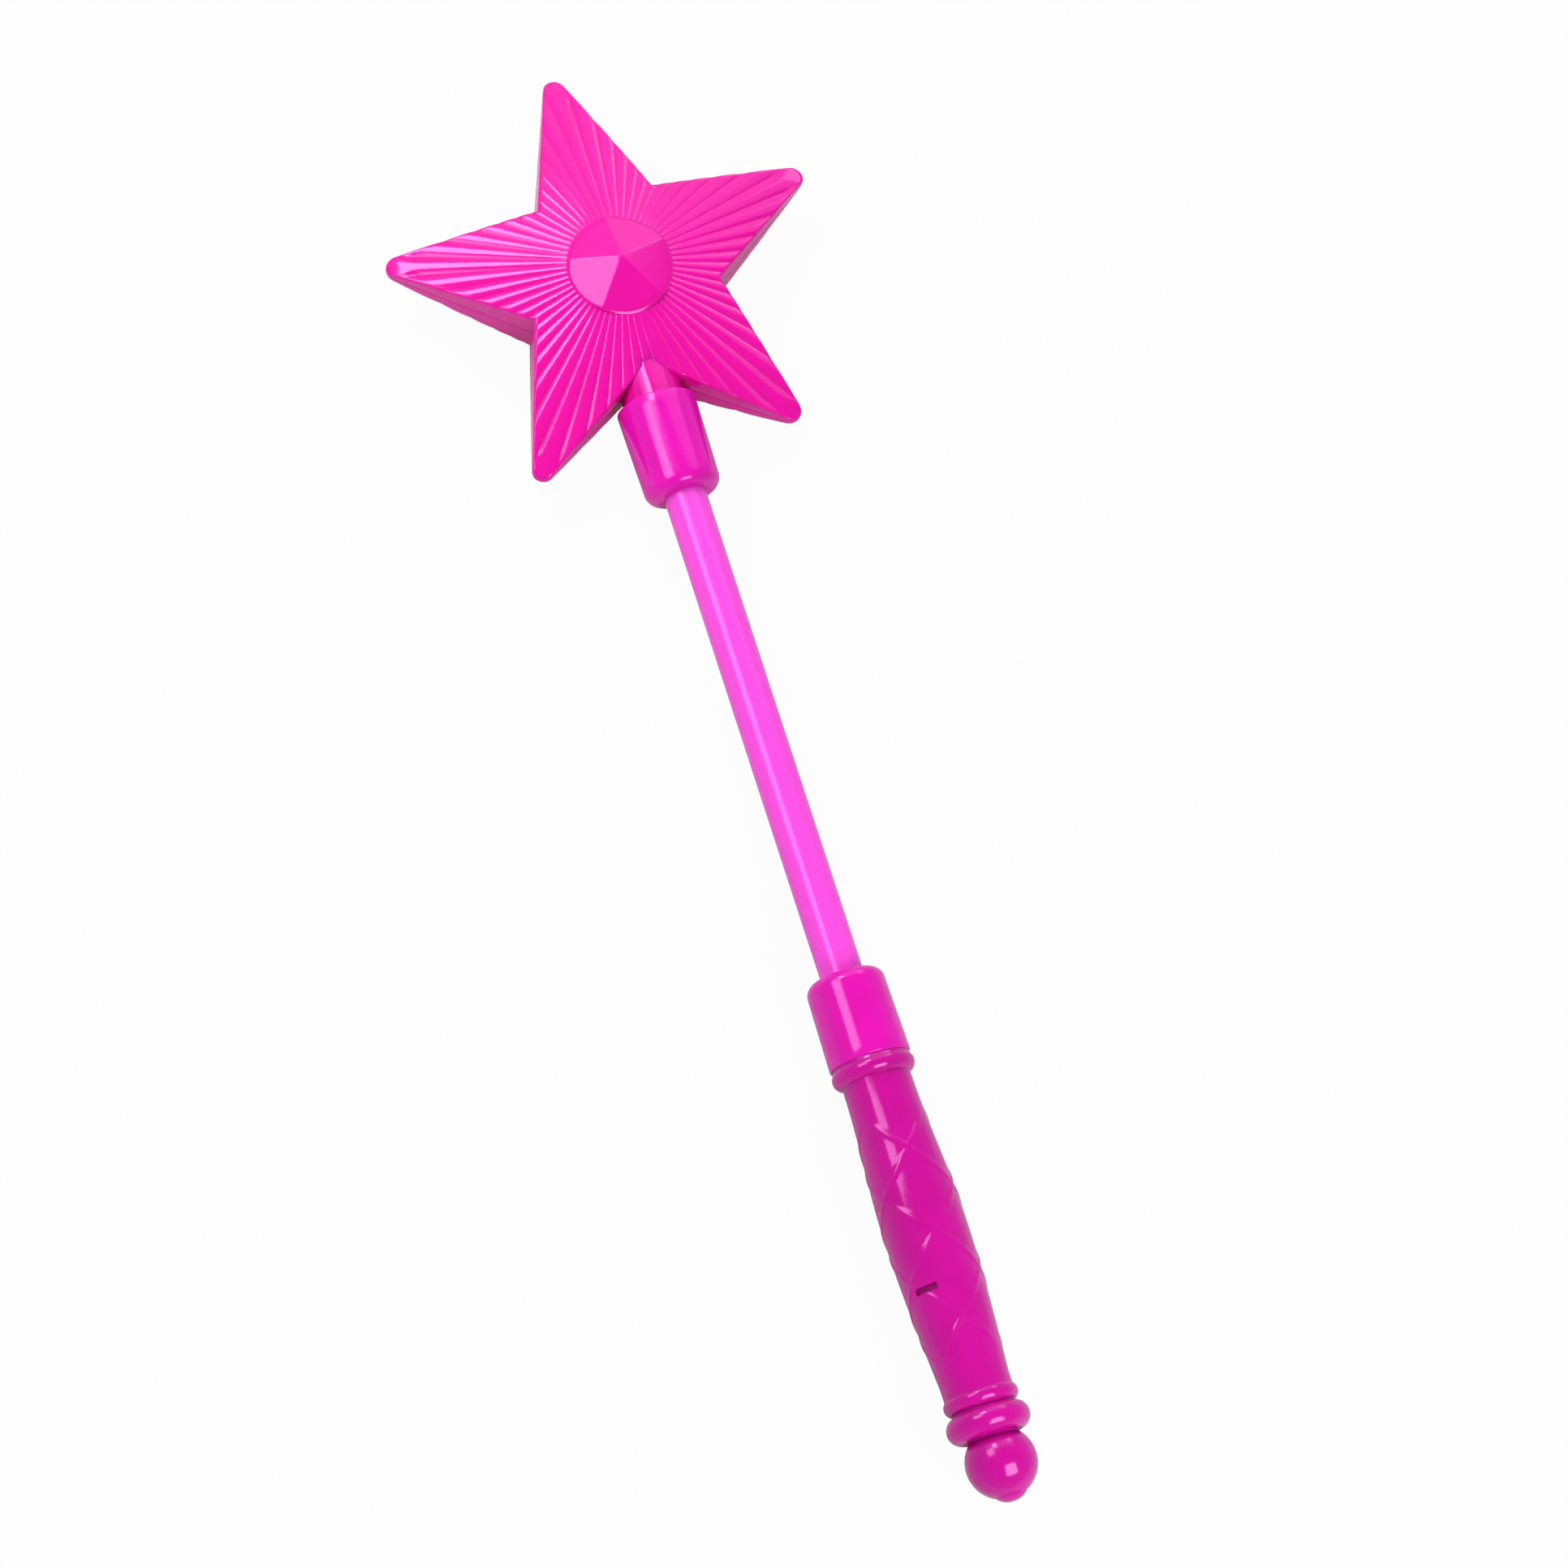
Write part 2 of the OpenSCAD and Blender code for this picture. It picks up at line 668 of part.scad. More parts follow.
// Cross-headed screws, heads to the back.
module handle_screws() {
    cross_w = 0.6;
    cross_l = 2.4;
    cross_deep = 0.8;
    color("silver") along_wand() for (z = screw_z) {
        head_top = screw_seat(z) + screw_head_h;
        translate([0, 0, z]) rotate([-90, 0, 0]) difference() {
            union() {
                translate([0, 0, -screw_bite])
                    cylinder(h = screw_bite + head_top - cross_deep, r = screw_r);
                translate([0, 0, screw_seat(z)]) cylinder(h = screw_head_h, r = screw_head_r);
            }
            for (a = [0, 90]) rotate([0, 0, a])
                translate([-cross_l / 2, -cross_w / 2, head_top - cross_deep])
                    cube([cross_l, cross_w, cross_deep + over]);
        }
    }
}

// Tube round the cells, slit for the black wire and notched for the pull tab.
module cell_sleeve() {
    color("white") along_wand() difference() {
        translate([0, 0, sleeve_low]) cylinder(h = cells_high - sleeve_low, r = sleeve_out_r);
        translate([0, 0, sleeve_low - over])
            cylinder(h = cells_high - sleeve_low + 2 * over, r = sleeve_in_r);
        translate([-2 * bore_r, -wire_slit / 2, sleeve_low - over])
            cube([2 * bore_r, wire_slit, cells_high]);
        tab_slot();
    }
}

// Button cell number i, counted from the bottom, with a narrower cap at its lower end.
module cell(i) {
    color("silver") along_wand() translate([0, 0, cells_low + i * cell_h]) {
        cylinder(h = cap_h, r = cap_r);
        translate([0, 0, cap_h]) cylinder(h = cell_h - cap_h, r = cell_r);
    }
}

module cell_lower() cell(0);

module cell_middle() cell(1);

module cell_upper() cell(2);

module contact_spring() {
    color("silver") along_wand() coil(board_top, cells_low, contact_foot_r, contact_tip_r, contact_turns);
}

// Round plate on the top cell, cut away for the black wire.
module contact_plate() {
    color("silver") along_wand() difference() {
        translate([0, 0, cells_high]) cylinder(h = plate_t, r = sleeve_out_r - plate_inset);
        translate([-2 * bore_r, -wire_slit / 2, cells_high - over])
            cube([2 * bore_r - slot_x + wire_slit, wire_slit, plate_t + 2 * over]);
    }
}

// Places of the switch's four pins on the board.
pin_x = 2.5;
pin_y = 2.25;
pin_r = 0.3;
pin_out = 0.8;
pin_places = [for (x = [-pin_x, pin_x]) for (y = [-pin_y, pin_y]) [x, y]];

module switch_board() {
    color("seagreen") along_wand() translate([0, 0, board_z]) difference() {
        cylinder(h = board_t, r = board_r);
        for (p = pin_places) translate([p[0], p[1], -over])
            cylinder(h = board_t + 2 * over, r = pin_r + fit_gap, $fn = 24);
    }
}

module switch_body() {
    color("dimgray") along_wand() translate([0, 0, switch_low]) difference() {
        translate([-switch_side / 2, -switch_side / 2, 0]) cube([switch_side, switch_side, switch_h]);
        translate([0, 0, -over])
            cylinder(h = over + plunger_in + button_travel + stroke_slack, r = plunger_r + slide_gap);
    }
}

module switch_pins() {
    color("silver") along_wand() for (p = pin_places) translate([p[0], p[1], board_z])
        cylinder(h = board_t + pin_out, r = pin_r, $fn = 24);
}

module switch_plunger() {
    color("black") along_wand() translate([0, 0, plunger_low])
        cylinder(h = plunger_out + plunger_in, r = plunger_r);
}

// Round blob over the flasher circuit, on top of the board.
module flasher_chip() {
    blob_r = 1.7;
    blob_h = 1;
    color("black") along_wand() translate([0, 0, board_top]) rotate_extrude()
        polygon(concat([[0, 0]], [for (a = [0:15:90]) [blob_r * cos(a), blob_h * sin(a)]]));
}

// Ball, neck, keeper flange and switch rod in one piece.
module ball_button() {
    neck_meets = sqrt(ball_r * ball_r - ball_neck_r * ball_neck_r);
    color(grip_pink) along_wand() {
        translate([0, 0, ball_z]) sphere(r = ball_r);
        translate([0, 0, ball_z - ball_r - pip_h]) cylinder(h = pip_h + over, r = pip_r);
        translate([0, 0, ball_z + neck_meets - over])
            cylinder(h = flange_low + button_flange_t / 2 - ball_z - neck_meets + over, r = ball_neck_r);
        translate([0, 0, flange_low]) cylinder(h = button_flange_t, r = button_flange_r);
        translate([0, 0, flange_low]) cylinder(h = plunger_low - flange_low, r = button_rod_r);
    }
}

module button_spring() {
    color("silver") along_wand() 
        coil(flange_high, spring_rib_low, button_coil_r, button_coil_r, button_coil_turns);
}

// Wire from the contact plate to one lead of the lamp.
module red_wire() {
    color("red") along_wand() swept_wire([
        [side_x, plate_high],
        [side_x, stem_low - spread_low],
        [lead_x, stem_low - spread_high],
        [lead_x, lamp_z - lead_len]]);
}

// Wire from the board, past the cells, to the other lead of the lamp.
module black_wire() {
    way_z = plate_high + bulkhead_t + way_rise;
    color("black") along_wand() swept_wire([
        [-foot_x, board_top],
        [-foot_x, board_top + foot_rise],
        [-slot_x, sleeve_low + slot_rise],
        [-slot_x, way_z],
        [-side_x, way_z + side_rise],
        [-side_x, stem_low - spread_low],
        [-lead_x, stem_low - spread_high],
        [-lead_x, lamp_z - lead_len]]);
}

star_front_shell();
star_rear_shell();
lamp_holder();
star_lamp();
lamp_leads();
head_ferrule();
stem_tube();
red_wire();
black_wire();
handle_ferrule();
handle_front_shell();
handle_rear_shell();
handle_screws();
cell_sleeve();
cell_lower();
cell_middle();
cell_upper();
contact_spring();
contact_plate();
switch_board();
switch_body();
switch_pins();
switch_plunger();
flasher_chip();
ball_button();
button_spring();
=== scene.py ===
"""Toy star wand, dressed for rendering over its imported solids.

The wand lies on its back: +X across the star, +Y along the wand towards the star, +Z out of the star's face.
Sizes are in millimetres and meshes in metres. What is seen from outside is built again here with finer edges,
ribs and relief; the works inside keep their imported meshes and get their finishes.
"""

import logging
import math
from dataclasses import dataclass, field
from enum import Enum, IntEnum
from types import SimpleNamespace
from typing import Callable, Mapping, Optional, Sequence, Union

import bmesh
import bpy
from mathutils import Matrix, Vector


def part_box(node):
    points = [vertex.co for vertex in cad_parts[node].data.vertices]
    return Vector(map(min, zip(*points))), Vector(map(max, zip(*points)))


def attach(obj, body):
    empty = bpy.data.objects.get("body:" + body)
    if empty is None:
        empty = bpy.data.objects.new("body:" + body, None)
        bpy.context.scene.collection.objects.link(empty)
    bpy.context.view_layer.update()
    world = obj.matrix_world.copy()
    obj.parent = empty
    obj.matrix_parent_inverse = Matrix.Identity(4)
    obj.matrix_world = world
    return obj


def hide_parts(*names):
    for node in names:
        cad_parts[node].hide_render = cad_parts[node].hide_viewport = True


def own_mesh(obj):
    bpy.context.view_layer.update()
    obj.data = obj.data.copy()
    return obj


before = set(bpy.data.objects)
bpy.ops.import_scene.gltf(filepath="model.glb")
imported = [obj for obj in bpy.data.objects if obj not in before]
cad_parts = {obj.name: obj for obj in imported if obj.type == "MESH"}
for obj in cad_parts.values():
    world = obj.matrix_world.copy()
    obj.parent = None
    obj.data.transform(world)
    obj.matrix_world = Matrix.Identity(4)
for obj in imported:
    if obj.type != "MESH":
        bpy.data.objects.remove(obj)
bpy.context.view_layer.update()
LOG = logging.getLogger("wand")
MM = 0.001
SHARP_DEGREES = 32.0
CREASE = 0.01
ARMS = 5
HALF_ARM = math.radians(36)
Number = Union[int, float, "Value"]
Colour = tuple[float, float, float, float]
Profile = list[tuple[float, float]]
Piece = bpy.types.Object
Socket = bpy.types.NodeSocket


def linear(code: str) -> Colour:
    """Linear colour of a display colour.

    Args:
        code: six hexadecimal digits, two for each of red, green and blue.

    Returns:
        Red, green, blue and an alpha of 1, as shaders take them.
    """
    shown = [int(code[i:i + 2], 16) / 255 for i in (0, 2, 4)]
    red, green, blue = (c / 12.92 if c <= 0.04045 else ((c + 0.055) / 1.055) ** 2.4 for c in shown)
    return red, green, blue, 1.0


def maths(operation: str, swapped: bool = False) -> Callable[..., "Value"]:
    """Method that puts one Math node on a value.

    Args:
        operation: the node's operation.
        swapped: whether the other term comes first.

    Returns:
        The method, for the Value class.
    """
    def method(self: "Value", *others: Number) -> "Value":
        """Value of the operation."""
        return self.graph.math(operation, *((*others, self) if swapped else (self, *others)))

    return method


class Value:
    """A number that flows through a node tree, so that node maths reads as an expression."""

    __add__, __radd__ = maths("ADD"), maths("ADD", True)
    __sub__, __rsub__ = maths("SUBTRACT"), maths("SUBTRACT", True)
    __mul__, __rmul__ = maths("MULTIPLY"), maths("MULTIPLY", True)
    __truediv__, __lt__, __abs__ = maths("DIVIDE"), maths("LESS_THAN"), maths("ABSOLUTE")
    sin, cos, root, fract = maths("SINE"), maths("COSINE"), maths("SQRT"), maths("FRACT")
    at_most, at_least = maths("MINIMUM"), maths("MAXIMUM")

    def __init__(self, graph: "Graph", socket: Socket) -> None:
        """Keeps the tree and the socket that the number comes out of."""
        self.graph = graph
        self.socket = socket

    def clamp(self) -> "Value":
        """This, held between 0 and 1."""
        return self.at_least(0.0).at_most(1.0)

    def fold(self) -> "Value":
        """Distance to the nearest whole number, 0 to 0.5."""
        return abs((self + 0.5).fract() - 0.5)


class Graph:
    """A node tree that is filled by expressions."""

    def __init__(self, tree: bpy.types.NodeTree) -> None:
        """Keeps the tree."""
        self.tree = tree

    def put(self, target: Socket, given: object) -> None:
        """Links a Value or a socket to an input, or sets the input to a constant.

        Args:
            target: the input.
            given: what goes into it.
        """
        source = given.socket if isinstance(given, Value) else given
        if isinstance(source, Socket):
            self.tree.links.new(source, target)
        else:
            target.default_value = source

    def node(self, kind: str, settings: Optional[Mapping] = None,
             sockets: Optional[Mapping] = None) -> bpy.types.Node:
        """Adds a node.

        Args:
            kind: the node's type name.
            settings: its properties, set first; "stops" are a ramp's (place, colour) pairs.
            sockets: a number, colour, Value or socket for each input, by name or place.

        Returns:
            The node.
        """
        made = self.tree.nodes.new(kind)
        for name, setting in (settings or {}).items():
            if name == "stops":
                self._set_stops(made.color_ramp.elements, setting)
            else:
                setattr(made, name, setting)
        for key, given in (sockets or {}).items():
            self.put(made.inputs[key], given)
        return made

    @staticmethod
    def _set_stops(elements: bpy.types.ColorRampElements, stops: Sequence[tuple[float, Colour]]) -> None:
        """Puts a ramp's stops in place of the two that it starts with.

        Args:
            elements: the ramp's own stops.
            stops: (place, colour) pairs.
        """
        while len(elements) > 1:
            elements.remove(elements[-1])
        elements[0].position, elements[0].color = stops[0]
        for place, colour in stops[1:]:
            elements.new(place).color = colour

    def math(self, operation: str, *terms: Number) -> Value:
        """Value of one Math node on the given terms."""
        node = self.node("ShaderNodeMath", {"operation": operation}, dict(enumerate(terms)))
        return Value(self, node.outputs[0])

    def choose(self, test: Value, if_true: Number, if_false: Number) -> Value:
        """One of two values, by a test that is 1 or 0."""
        return test * if_true + (1 - test) * if_false


class Surface(Graph):
    """Node tree of one material, with its textures on object coordinates."""

    def __init__(self, name: str) -> None:
        """Makes the material and its shader.

        Args:
            name: the finish's name.
        """
        self.material = bpy.data.materials.new(name)
        self.material.use_nodes = True
        super().__init__(self.material.node_tree)
        self.shader = self.tree.nodes["Principled BSDF"]
        self.coords = self.node("ShaderNodeTexCoord").outputs["Object"]

    def noise(self, grain_mm: float, detail: float = 2.0, stretch: Sequence[float] = (1, 1, 1)) -> Value:
        """Cloudy noise.

        Args:
            grain_mm: size of one cloud.
            detail: octaves of finer noise.
            stretch: how much longer a cloud is along each axis.

        Returns:
            A value from 0 to 1, mostly near 0.5.
        """
        scale = [1 / (grain_mm * MM * s) for s in stretch]
        mapped = self.node("ShaderNodeMapping", {}, {"Vector": self.coords, "Scale": scale})
        sockets = {"Vector": mapped.outputs[0], "Scale": 1.0, "Detail": detail}
        return Value(self, self.node("ShaderNodeTexNoise", {}, sockets).outputs[0])

    def attribute(self, name: str) -> Value:
        """A number that the piece's mesh carries at each point."""
        node = self.node("ShaderNodeAttribute", {"attribute_type": "GEOMETRY", "attribute_name": name})
        return Value(self, node.outputs["Fac"])

    def mix(self, share: Number, low: object, high: object) -> Socket:
        """Colour between two colours."""
        return self.node("ShaderNodeMix", {"data_type": "RGBA"}, {0: share, 6: low, 7: high}).outputs[2]

    def bump(self, height: Value, depth_mm: float) -> None:
        """Raises the surface by a height of 0 to 1 times a depth."""
        node = self.node("ShaderNodeBump", {}, {"Strength": 1.0, "Distance": depth_mm * MM, "Height": height})
        self.set(Normal=node.outputs[0])

    def set(self, **sockets: object) -> None:
        """Sets or links the shader's sockets; a name's spaces are written as underscores."""
        for key, given in sockets.items():
            self.put(self.shader.inputs[key.replace("_", " ")], given)


class Marks(Enum):
    """Marks that the making leaves on a plastic piece; the ribbed kind also carries painted shade down in its
    grooves.
    """

    MOULDED = "cloudy flow marks"
    EXTRUDED = "fine lines along the wand"
    # Painted shade: on ribbed pieces the colour deepens down in the rib grooves, where shade falls.
    RIBBED_WITH_GROOVE_SHADE = "flow marks, with deeper colour down in the grooves"


@dataclass(frozen=True)
class Finish:
    """What a piece is made of, and how its surface came out."""

    name: str
    slot: str
    colour: str
    deep: str
    roughness: float

    def material(self) -> bpy.types.Material:
        """The finish as a material, made at its first use.

        Returns:
            The material.
        """
        known = bpy.data.materials.get(self.name)
        if known:
            return known
        surface = Surface(self.name)
        self.paint(surface)
        return surface.material

    def paint(self, s: Surface) -> None:
        """Sets up the surface; each kind of finish has its own way."""
        raise NotImplementedError

    def shade(self, s: Surface, share: Value) -> Socket:
        """Colour between the finish's own colour and its deeper one."""
        return s.mix(share, linear(self.colour), linear(self.deep))


@dataclass(frozen=True)
class PinkPlastic(Finish):
    """Glossy see-through-tinted plastic of the wand's outside."""

    marks: Marks = Marks.MOULDED
    specular: float = 0.62
    sheen_tint: str = "ffc0ff"
    refraction: float = 1.46
    glow_mm: float = 2.5
    glow: float = 0.35
    glow_reach: tuple[float, float, float] = (1.0, 0.25, 0.7)
    cloud_mm: float = 9.0
    haze_mm: float = 2.2
    line_mm: float = 0.7
    line_stretch: float = 160.0
    touch_mm: float = 5.0
    wave_mm: float = 0.035

    def paint(self, s: Surface) -> None:
        """Tinted gloss with flow marks, drawn lines or painted shade down in the grooves, and duller spots
        where it is held.

        Args:
            s: the surface to set up.
        """
        cloud = s.noise(self.cloud_mm, 3.0)
        haze = s.noise(self.haze_mm, 4.0)
        if self.marks is Marks.EXTRUDED:
            drawn = s.noise(self.line_mm, 2.0, (1, self.line_stretch, 1))
            depth = (0.6 * drawn + 0.4 * cloud - 0.28) * 1.1
            height = 0.7 * drawn + 0.3 * haze
        else:
            depth = (cloud - 0.36) * 1.5
            height = 0.5 * haze + 0.5 * cloud
        # Painted shade: ribbed pieces take the deeper colour down in their rib grooves.
        if self.marks is Marks.RIBBED_WITH_GROOVE_SHADE:
            depth = 0.45 * depth + 0.55 * s.attribute("groove")
        handled = ((s.noise(self.touch_mm, 5.0) - 0.5) * 2.4).clamp()
        s.set(
            Base_Color=self.shade(s, depth.clamp()),
            Roughness=self.roughness + 0.07 * handled + 0.03 * (haze - 0.5),
            IOR=self.refraction,
            Specular_IOR_Level=self.specular,
            Specular_Tint=linear(self.sheen_tint),
            Subsurface_Weight=self.glow,
            Subsurface_Scale=self.glow_mm * MM,
            Subsurface_Radius=self.glow_reach,
        )
        s.bump(height, self.wave_mm)


@dataclass(frozen=True)
class InnerPlastic(Finish):
    """Plain plastic, lacquer or laminate of the works inside."""

    grain_mm: float = 1.2
    grain_depth_mm: float = 0.02

    def paint(self, s: Surface) -> None:
        """Even colour with a fine grain.

        Args:
            s: the surface to set up.
        """
        grain = s.noise(self.grain_mm, 4.0)
        s.set(
            Base_Color=self.shade(s, ((grain - 0.3) * 1.6).clamp()),
            Roughness=self.roughness + 0.15 * (grain - 0.5),
        )
        s.bump(grain, self.grain_depth_mm)


@dataclass(frozen=True)
class PlatedMetal(Finish):
    """Nickel-plated steel with fine drawing marks."""

    line_mm: float = 0.25
    line_stretch: float = 14.0
    stain_mm: float = 3.0
    line_depth_mm: float = 0.008

    def paint(self, s: Surface) -> None:
        """Bright metal with drawn lines and faint stains.

        Args:
            s: the surface to set up.
        """
        drawn = s.noise(self.line_mm, 3.0, (1, 1, self.line_stretch))
        stain = s.noise(self.stain_mm, 3.0)
        s.set(
            Base_Color=self.shade(s, ((stain - 0.35) * 1.4).clamp()),
            Metallic=1.0,
            Roughness=self.roughness + 0.18 * (drawn - 0.5) + 0.08 * stain,
        )
        s.bump(drawn, self.line_depth_mm)


@dataclass(frozen=True)
class LampLens(Finish):
    """Clear cast resin of the lamp."""

    cast_mm: float = 1.5
    refraction: float = 1.52
    clearness: float = 0.85

    def paint(self, s: Surface) -> None:
        """Clear resin, a little cloudy from casting.

        Args:
            s: the surface to set up.
        """
        cast = s.noise(self.cast_mm, 3.0)
        s.set(
            Base_Color=self.shade(s, cast),
            Roughness=self.roughness + 0.06 * cast,
            IOR=self.refraction,
            Transmission_Weight=self.clearness,
        )


# The star's deeper colour is partly random tone and partly painted shade down in its rib grooves.
STAR_PINK = PinkPlastic("star_pink", "star_plastic", "e10c9f", "d4078f", 0.11, Marks.RIBBED_WITH_GROOVE_SHADE)
FERRULE_PINK = PinkPlastic("ferrule_pink", "ferrule_plastic", "df10b1", "d30aa3", 0.13)
STEM_PINK = PinkPlastic("stem_pink", "stem_plastic", "f950da", "f545d2", 0.16, Marks.EXTRUDED)
GRIP_PINK = PinkPlastic("grip_pink", "grip_plastic", "c60a96", "ba068a", 0.13)
WHITE_PLASTIC = InnerPlastic("white_plastic", "white_plastic", "ece9e4", "dcd8d2", 0.5)
RED_SLEEVE = InnerPlastic("red_sleeving", "red_insulation", "c8242a", "a8161c", 0.42, 0.6)
BLACK_PLASTIC = InnerPlastic("black_plastic", "black_plastic", "1d1d20", "101012", 0.45, 0.7)
BOARD_LACQUER = InnerPlastic("board_lacquer", "board", "2c7a52", "1f6242", 0.35, 0.9)
PLATED = PlatedMetal("plated_steel", "bright_metal", "dcdce0", "a9a9b0", 0.24)
LENS = LampLens("lamp_resin", "lamp_lens", "fbe9f5", "f3c6e6", 0.05)


def bake(piece: Piece, modifier: bpy.types.Modifier) -> None:
    """Makes a modifier's result the piece's own plain mesh and removes the modifier.

    Args:
        piece: the object.
        modifier: its only modifier.
    """
    graph = bpy.context.evaluated_depsgraph_get()
    shaped = bpy.data.meshes.new_from_object(
        piece.evaluated_get(graph), preserve_all_data_layers=True, depsgraph=graph)
    piece.modifiers.remove(modifier)
    piece.data = shaped


class ShapeTree(Graph):
    """Geometry tree that turns a sheet into a finished piece, with named inputs for its sizes."""

    def __init__(self, name: str, sizes: Mapping[str, float]) -> None:
        """Makes the tree and its inputs.

        Args:
            name: the tree's name.
            sizes: name and value of each size that the shape follows.
        """
        super().__init__(bpy.data.node_groups.new(name, "GeometryNodeTree"))
        face = self.tree.interface
        face.new_socket("Geometry", in_out="INPUT", socket_type="NodeSocketGeometry")
        for size in sizes:
            face.new_socket(size, in_out="INPUT", socket_type="NodeSocketFloat")
        face.new_socket("Finish", in_out="INPUT", socket_type="NodeSocketMaterial")
        face.new_socket("Geometry", in_out="OUTPUT", socket_type="NodeSocketGeometry")
        self.sizes = dict(sizes)
        self.entry = self.node("NodeGroupInput")
        self.geometry = self.entry.outputs["Geometry"]

    def values(self) -> SimpleNamespace:
        """The named sizes, as numbers that flow through the tree."""
        return SimpleNamespace(**{name: Value(self, self.entry.outputs[name]) for name in self.sizes})

    def read(self, name: str) -> Value:
        """A number that the sheet carries at each point."""
        node = self.node("GeometryNodeInputNamedAttribute", {"data_type": "FLOAT"}, {"Name": name})
        return Value(self, node.outputs["Attribute"])

    def vector(self, x: Number, y: Number, z: Number) -> Socket:
        """A vector in metres from three numbers in millimetres.

        Args:
            x: across the star.
            y: along the wand.
            z: out of the star's face.

        Returns:
            The vector's socket.
        """
        joined = self.node("ShaderNodeCombineXYZ", {}, {0: x, 1: y, 2: z})
        sockets = {0: joined.outputs[0], "Scale": MM}
        return self.node("ShaderNodeVectorMath", {"operation": "SCALE"}, sockets).outputs[0]

    def then(self, kind: str, settings: Optional[Mapping] = None, sockets: Optional[Mapping] = None) -> None:
        """Passes the geometry through one more node."""
        node = self.node(kind, settings, {0: self.geometry, **(sockets or {})})
        self.geometry = node.outputs[0]

    def keep(self, name: str, number: Value) -> None:
        """Stores a number at each point for the material to read."""
        settings = {"data_type": "FLOAT", "domain": "POINT"}
        self.then("GeometryNodeStoreNamedAttribute", settings, {"Name": name, "Value": number})

    def apply(self, piece: Piece, material: bpy.types.Material) -> None:
        """Ends the tree, runs it on a piece and makes the result a plain mesh.

        Args:
            piece: object that holds the sheet.
            material: the finish.
        """
        self.then("GeometryNodeRealizeInstances")
        self.then("GeometryNodeSetMaterial", {}, {"Material": self.entry.outputs["Finish"]})
        self.node("NodeGroupOutput", {}, {0: self.geometry})
        modifier = piece.modifiers.new(self.tree.name, "NODES")
        modifier.node_group = self.tree
        given = {**self.sizes, "Finish": material}
        for socket in self.tree.interface.items_tree:
            if socket.in_out == "INPUT" and socket.name in given:
                modifier[socket.identifier] = given[socket.name]
        bake(piece, modifier)


def add_object(name: str, points: Sequence, faces: Sequence,
               numbers: Optional[Mapping[str, Sequence[float]]] = None) -> Piece:
    """Adds a mesh object at the origin.

    Args:
        name: the piece's name.
        points: corner places in metres.
        faces: corner numbers of each face.
        numbers: named numbers that the mesh carries, one for each corner.

    Returns:
        The object.
    """
    mesh = bpy.data.meshes.new(name)
    mesh.from_pydata(points, [], faces)
    for key, values in (numbers or {}).items():
        mesh.attributes.new(key, "FLOAT", "POINT").data.foreach_set("value", values)
    piece = bpy.data.objects.new(name, mesh)
    bpy.context.scene.collection.objects.link(piece)
    return piece


def smooth(piece: Piece, sharp_degrees: float = SHARP_DEGREES) -> None:
    """Shades a piece smoothly and leaves edges past an angle sharp."""
    piece.data.shade_smooth()
    piece.data.set_sharp_from_angle(angle=math.radians(sharp_degrees))


def settle(piece: Piece, sharp_degrees: float = SHARP_DEGREES) -> Piece:
    """Turns faces outwards and sets smooth shading with sharp edges.

    Args:
        piece: object with a closed mesh.
        sharp_degrees: angle past which an edge stays sharp.

    Returns:
        The same object.
    """
    work = bmesh.new()
    work.from_mesh(piece.data)
    bmesh.ops.recalc_face_normals(work, faces=work.faces)
    work.to_mesh(piece.data)
    work.free()
    smooth(piece, sharp_degrees)
    return piece


def polar_sheet(name: str, rows: Sequence[float], columns: int) -> Piece:
    """Closed sheet from one pole to the other that carries "row" and "turn" and waits for its shape.

    Args:
        name: the piece's name.
        rows: row numbers; the first and last are poles.
        columns: points round each row.

    Returns:
        The object.
    """
    ringed = [(j / columns, row) for row in rows[1:-1] for j in range(columns)]
    spots = [(0.0, rows[0]), *ringed, (0.0, rows[-1])]
    last = len(spots) - 1
    rings = len(rows) - 2
    faces = []
    for j in range(columns):
        k = (j + 1) % columns
        faces.append((0, 1 + j, 1 + k))
        for i in range(rings - 1):
            low, high = 1 + i * columns, 1 + (i + 1) * columns
            faces.append((low + j, high + j, high + k, low + k))
        low = 1 + (rings - 1) * columns
        faces.append((low + j, last, low + k))
    numbers = {"row": [row for _, row in spots], "turn": [turn for turn, _ in spots]}
    return add_object(name, [(turn, row, 0.0) for turn, row in spots], faces, numbers)


class Span(Enum):
    """Part of a turn that a turned piece covers, in degrees from the front towards +X."""

    WHOLE = (0.0, 360.0)
    FRONT = (-90.0, 90.0)
    REAR = (90.0, 270.0)


@dataclass(frozen=True)
class Station:
    """One ring of a turned piece: its place along the wand and its two radii."""

    y: float
    outer: float
    inner: float


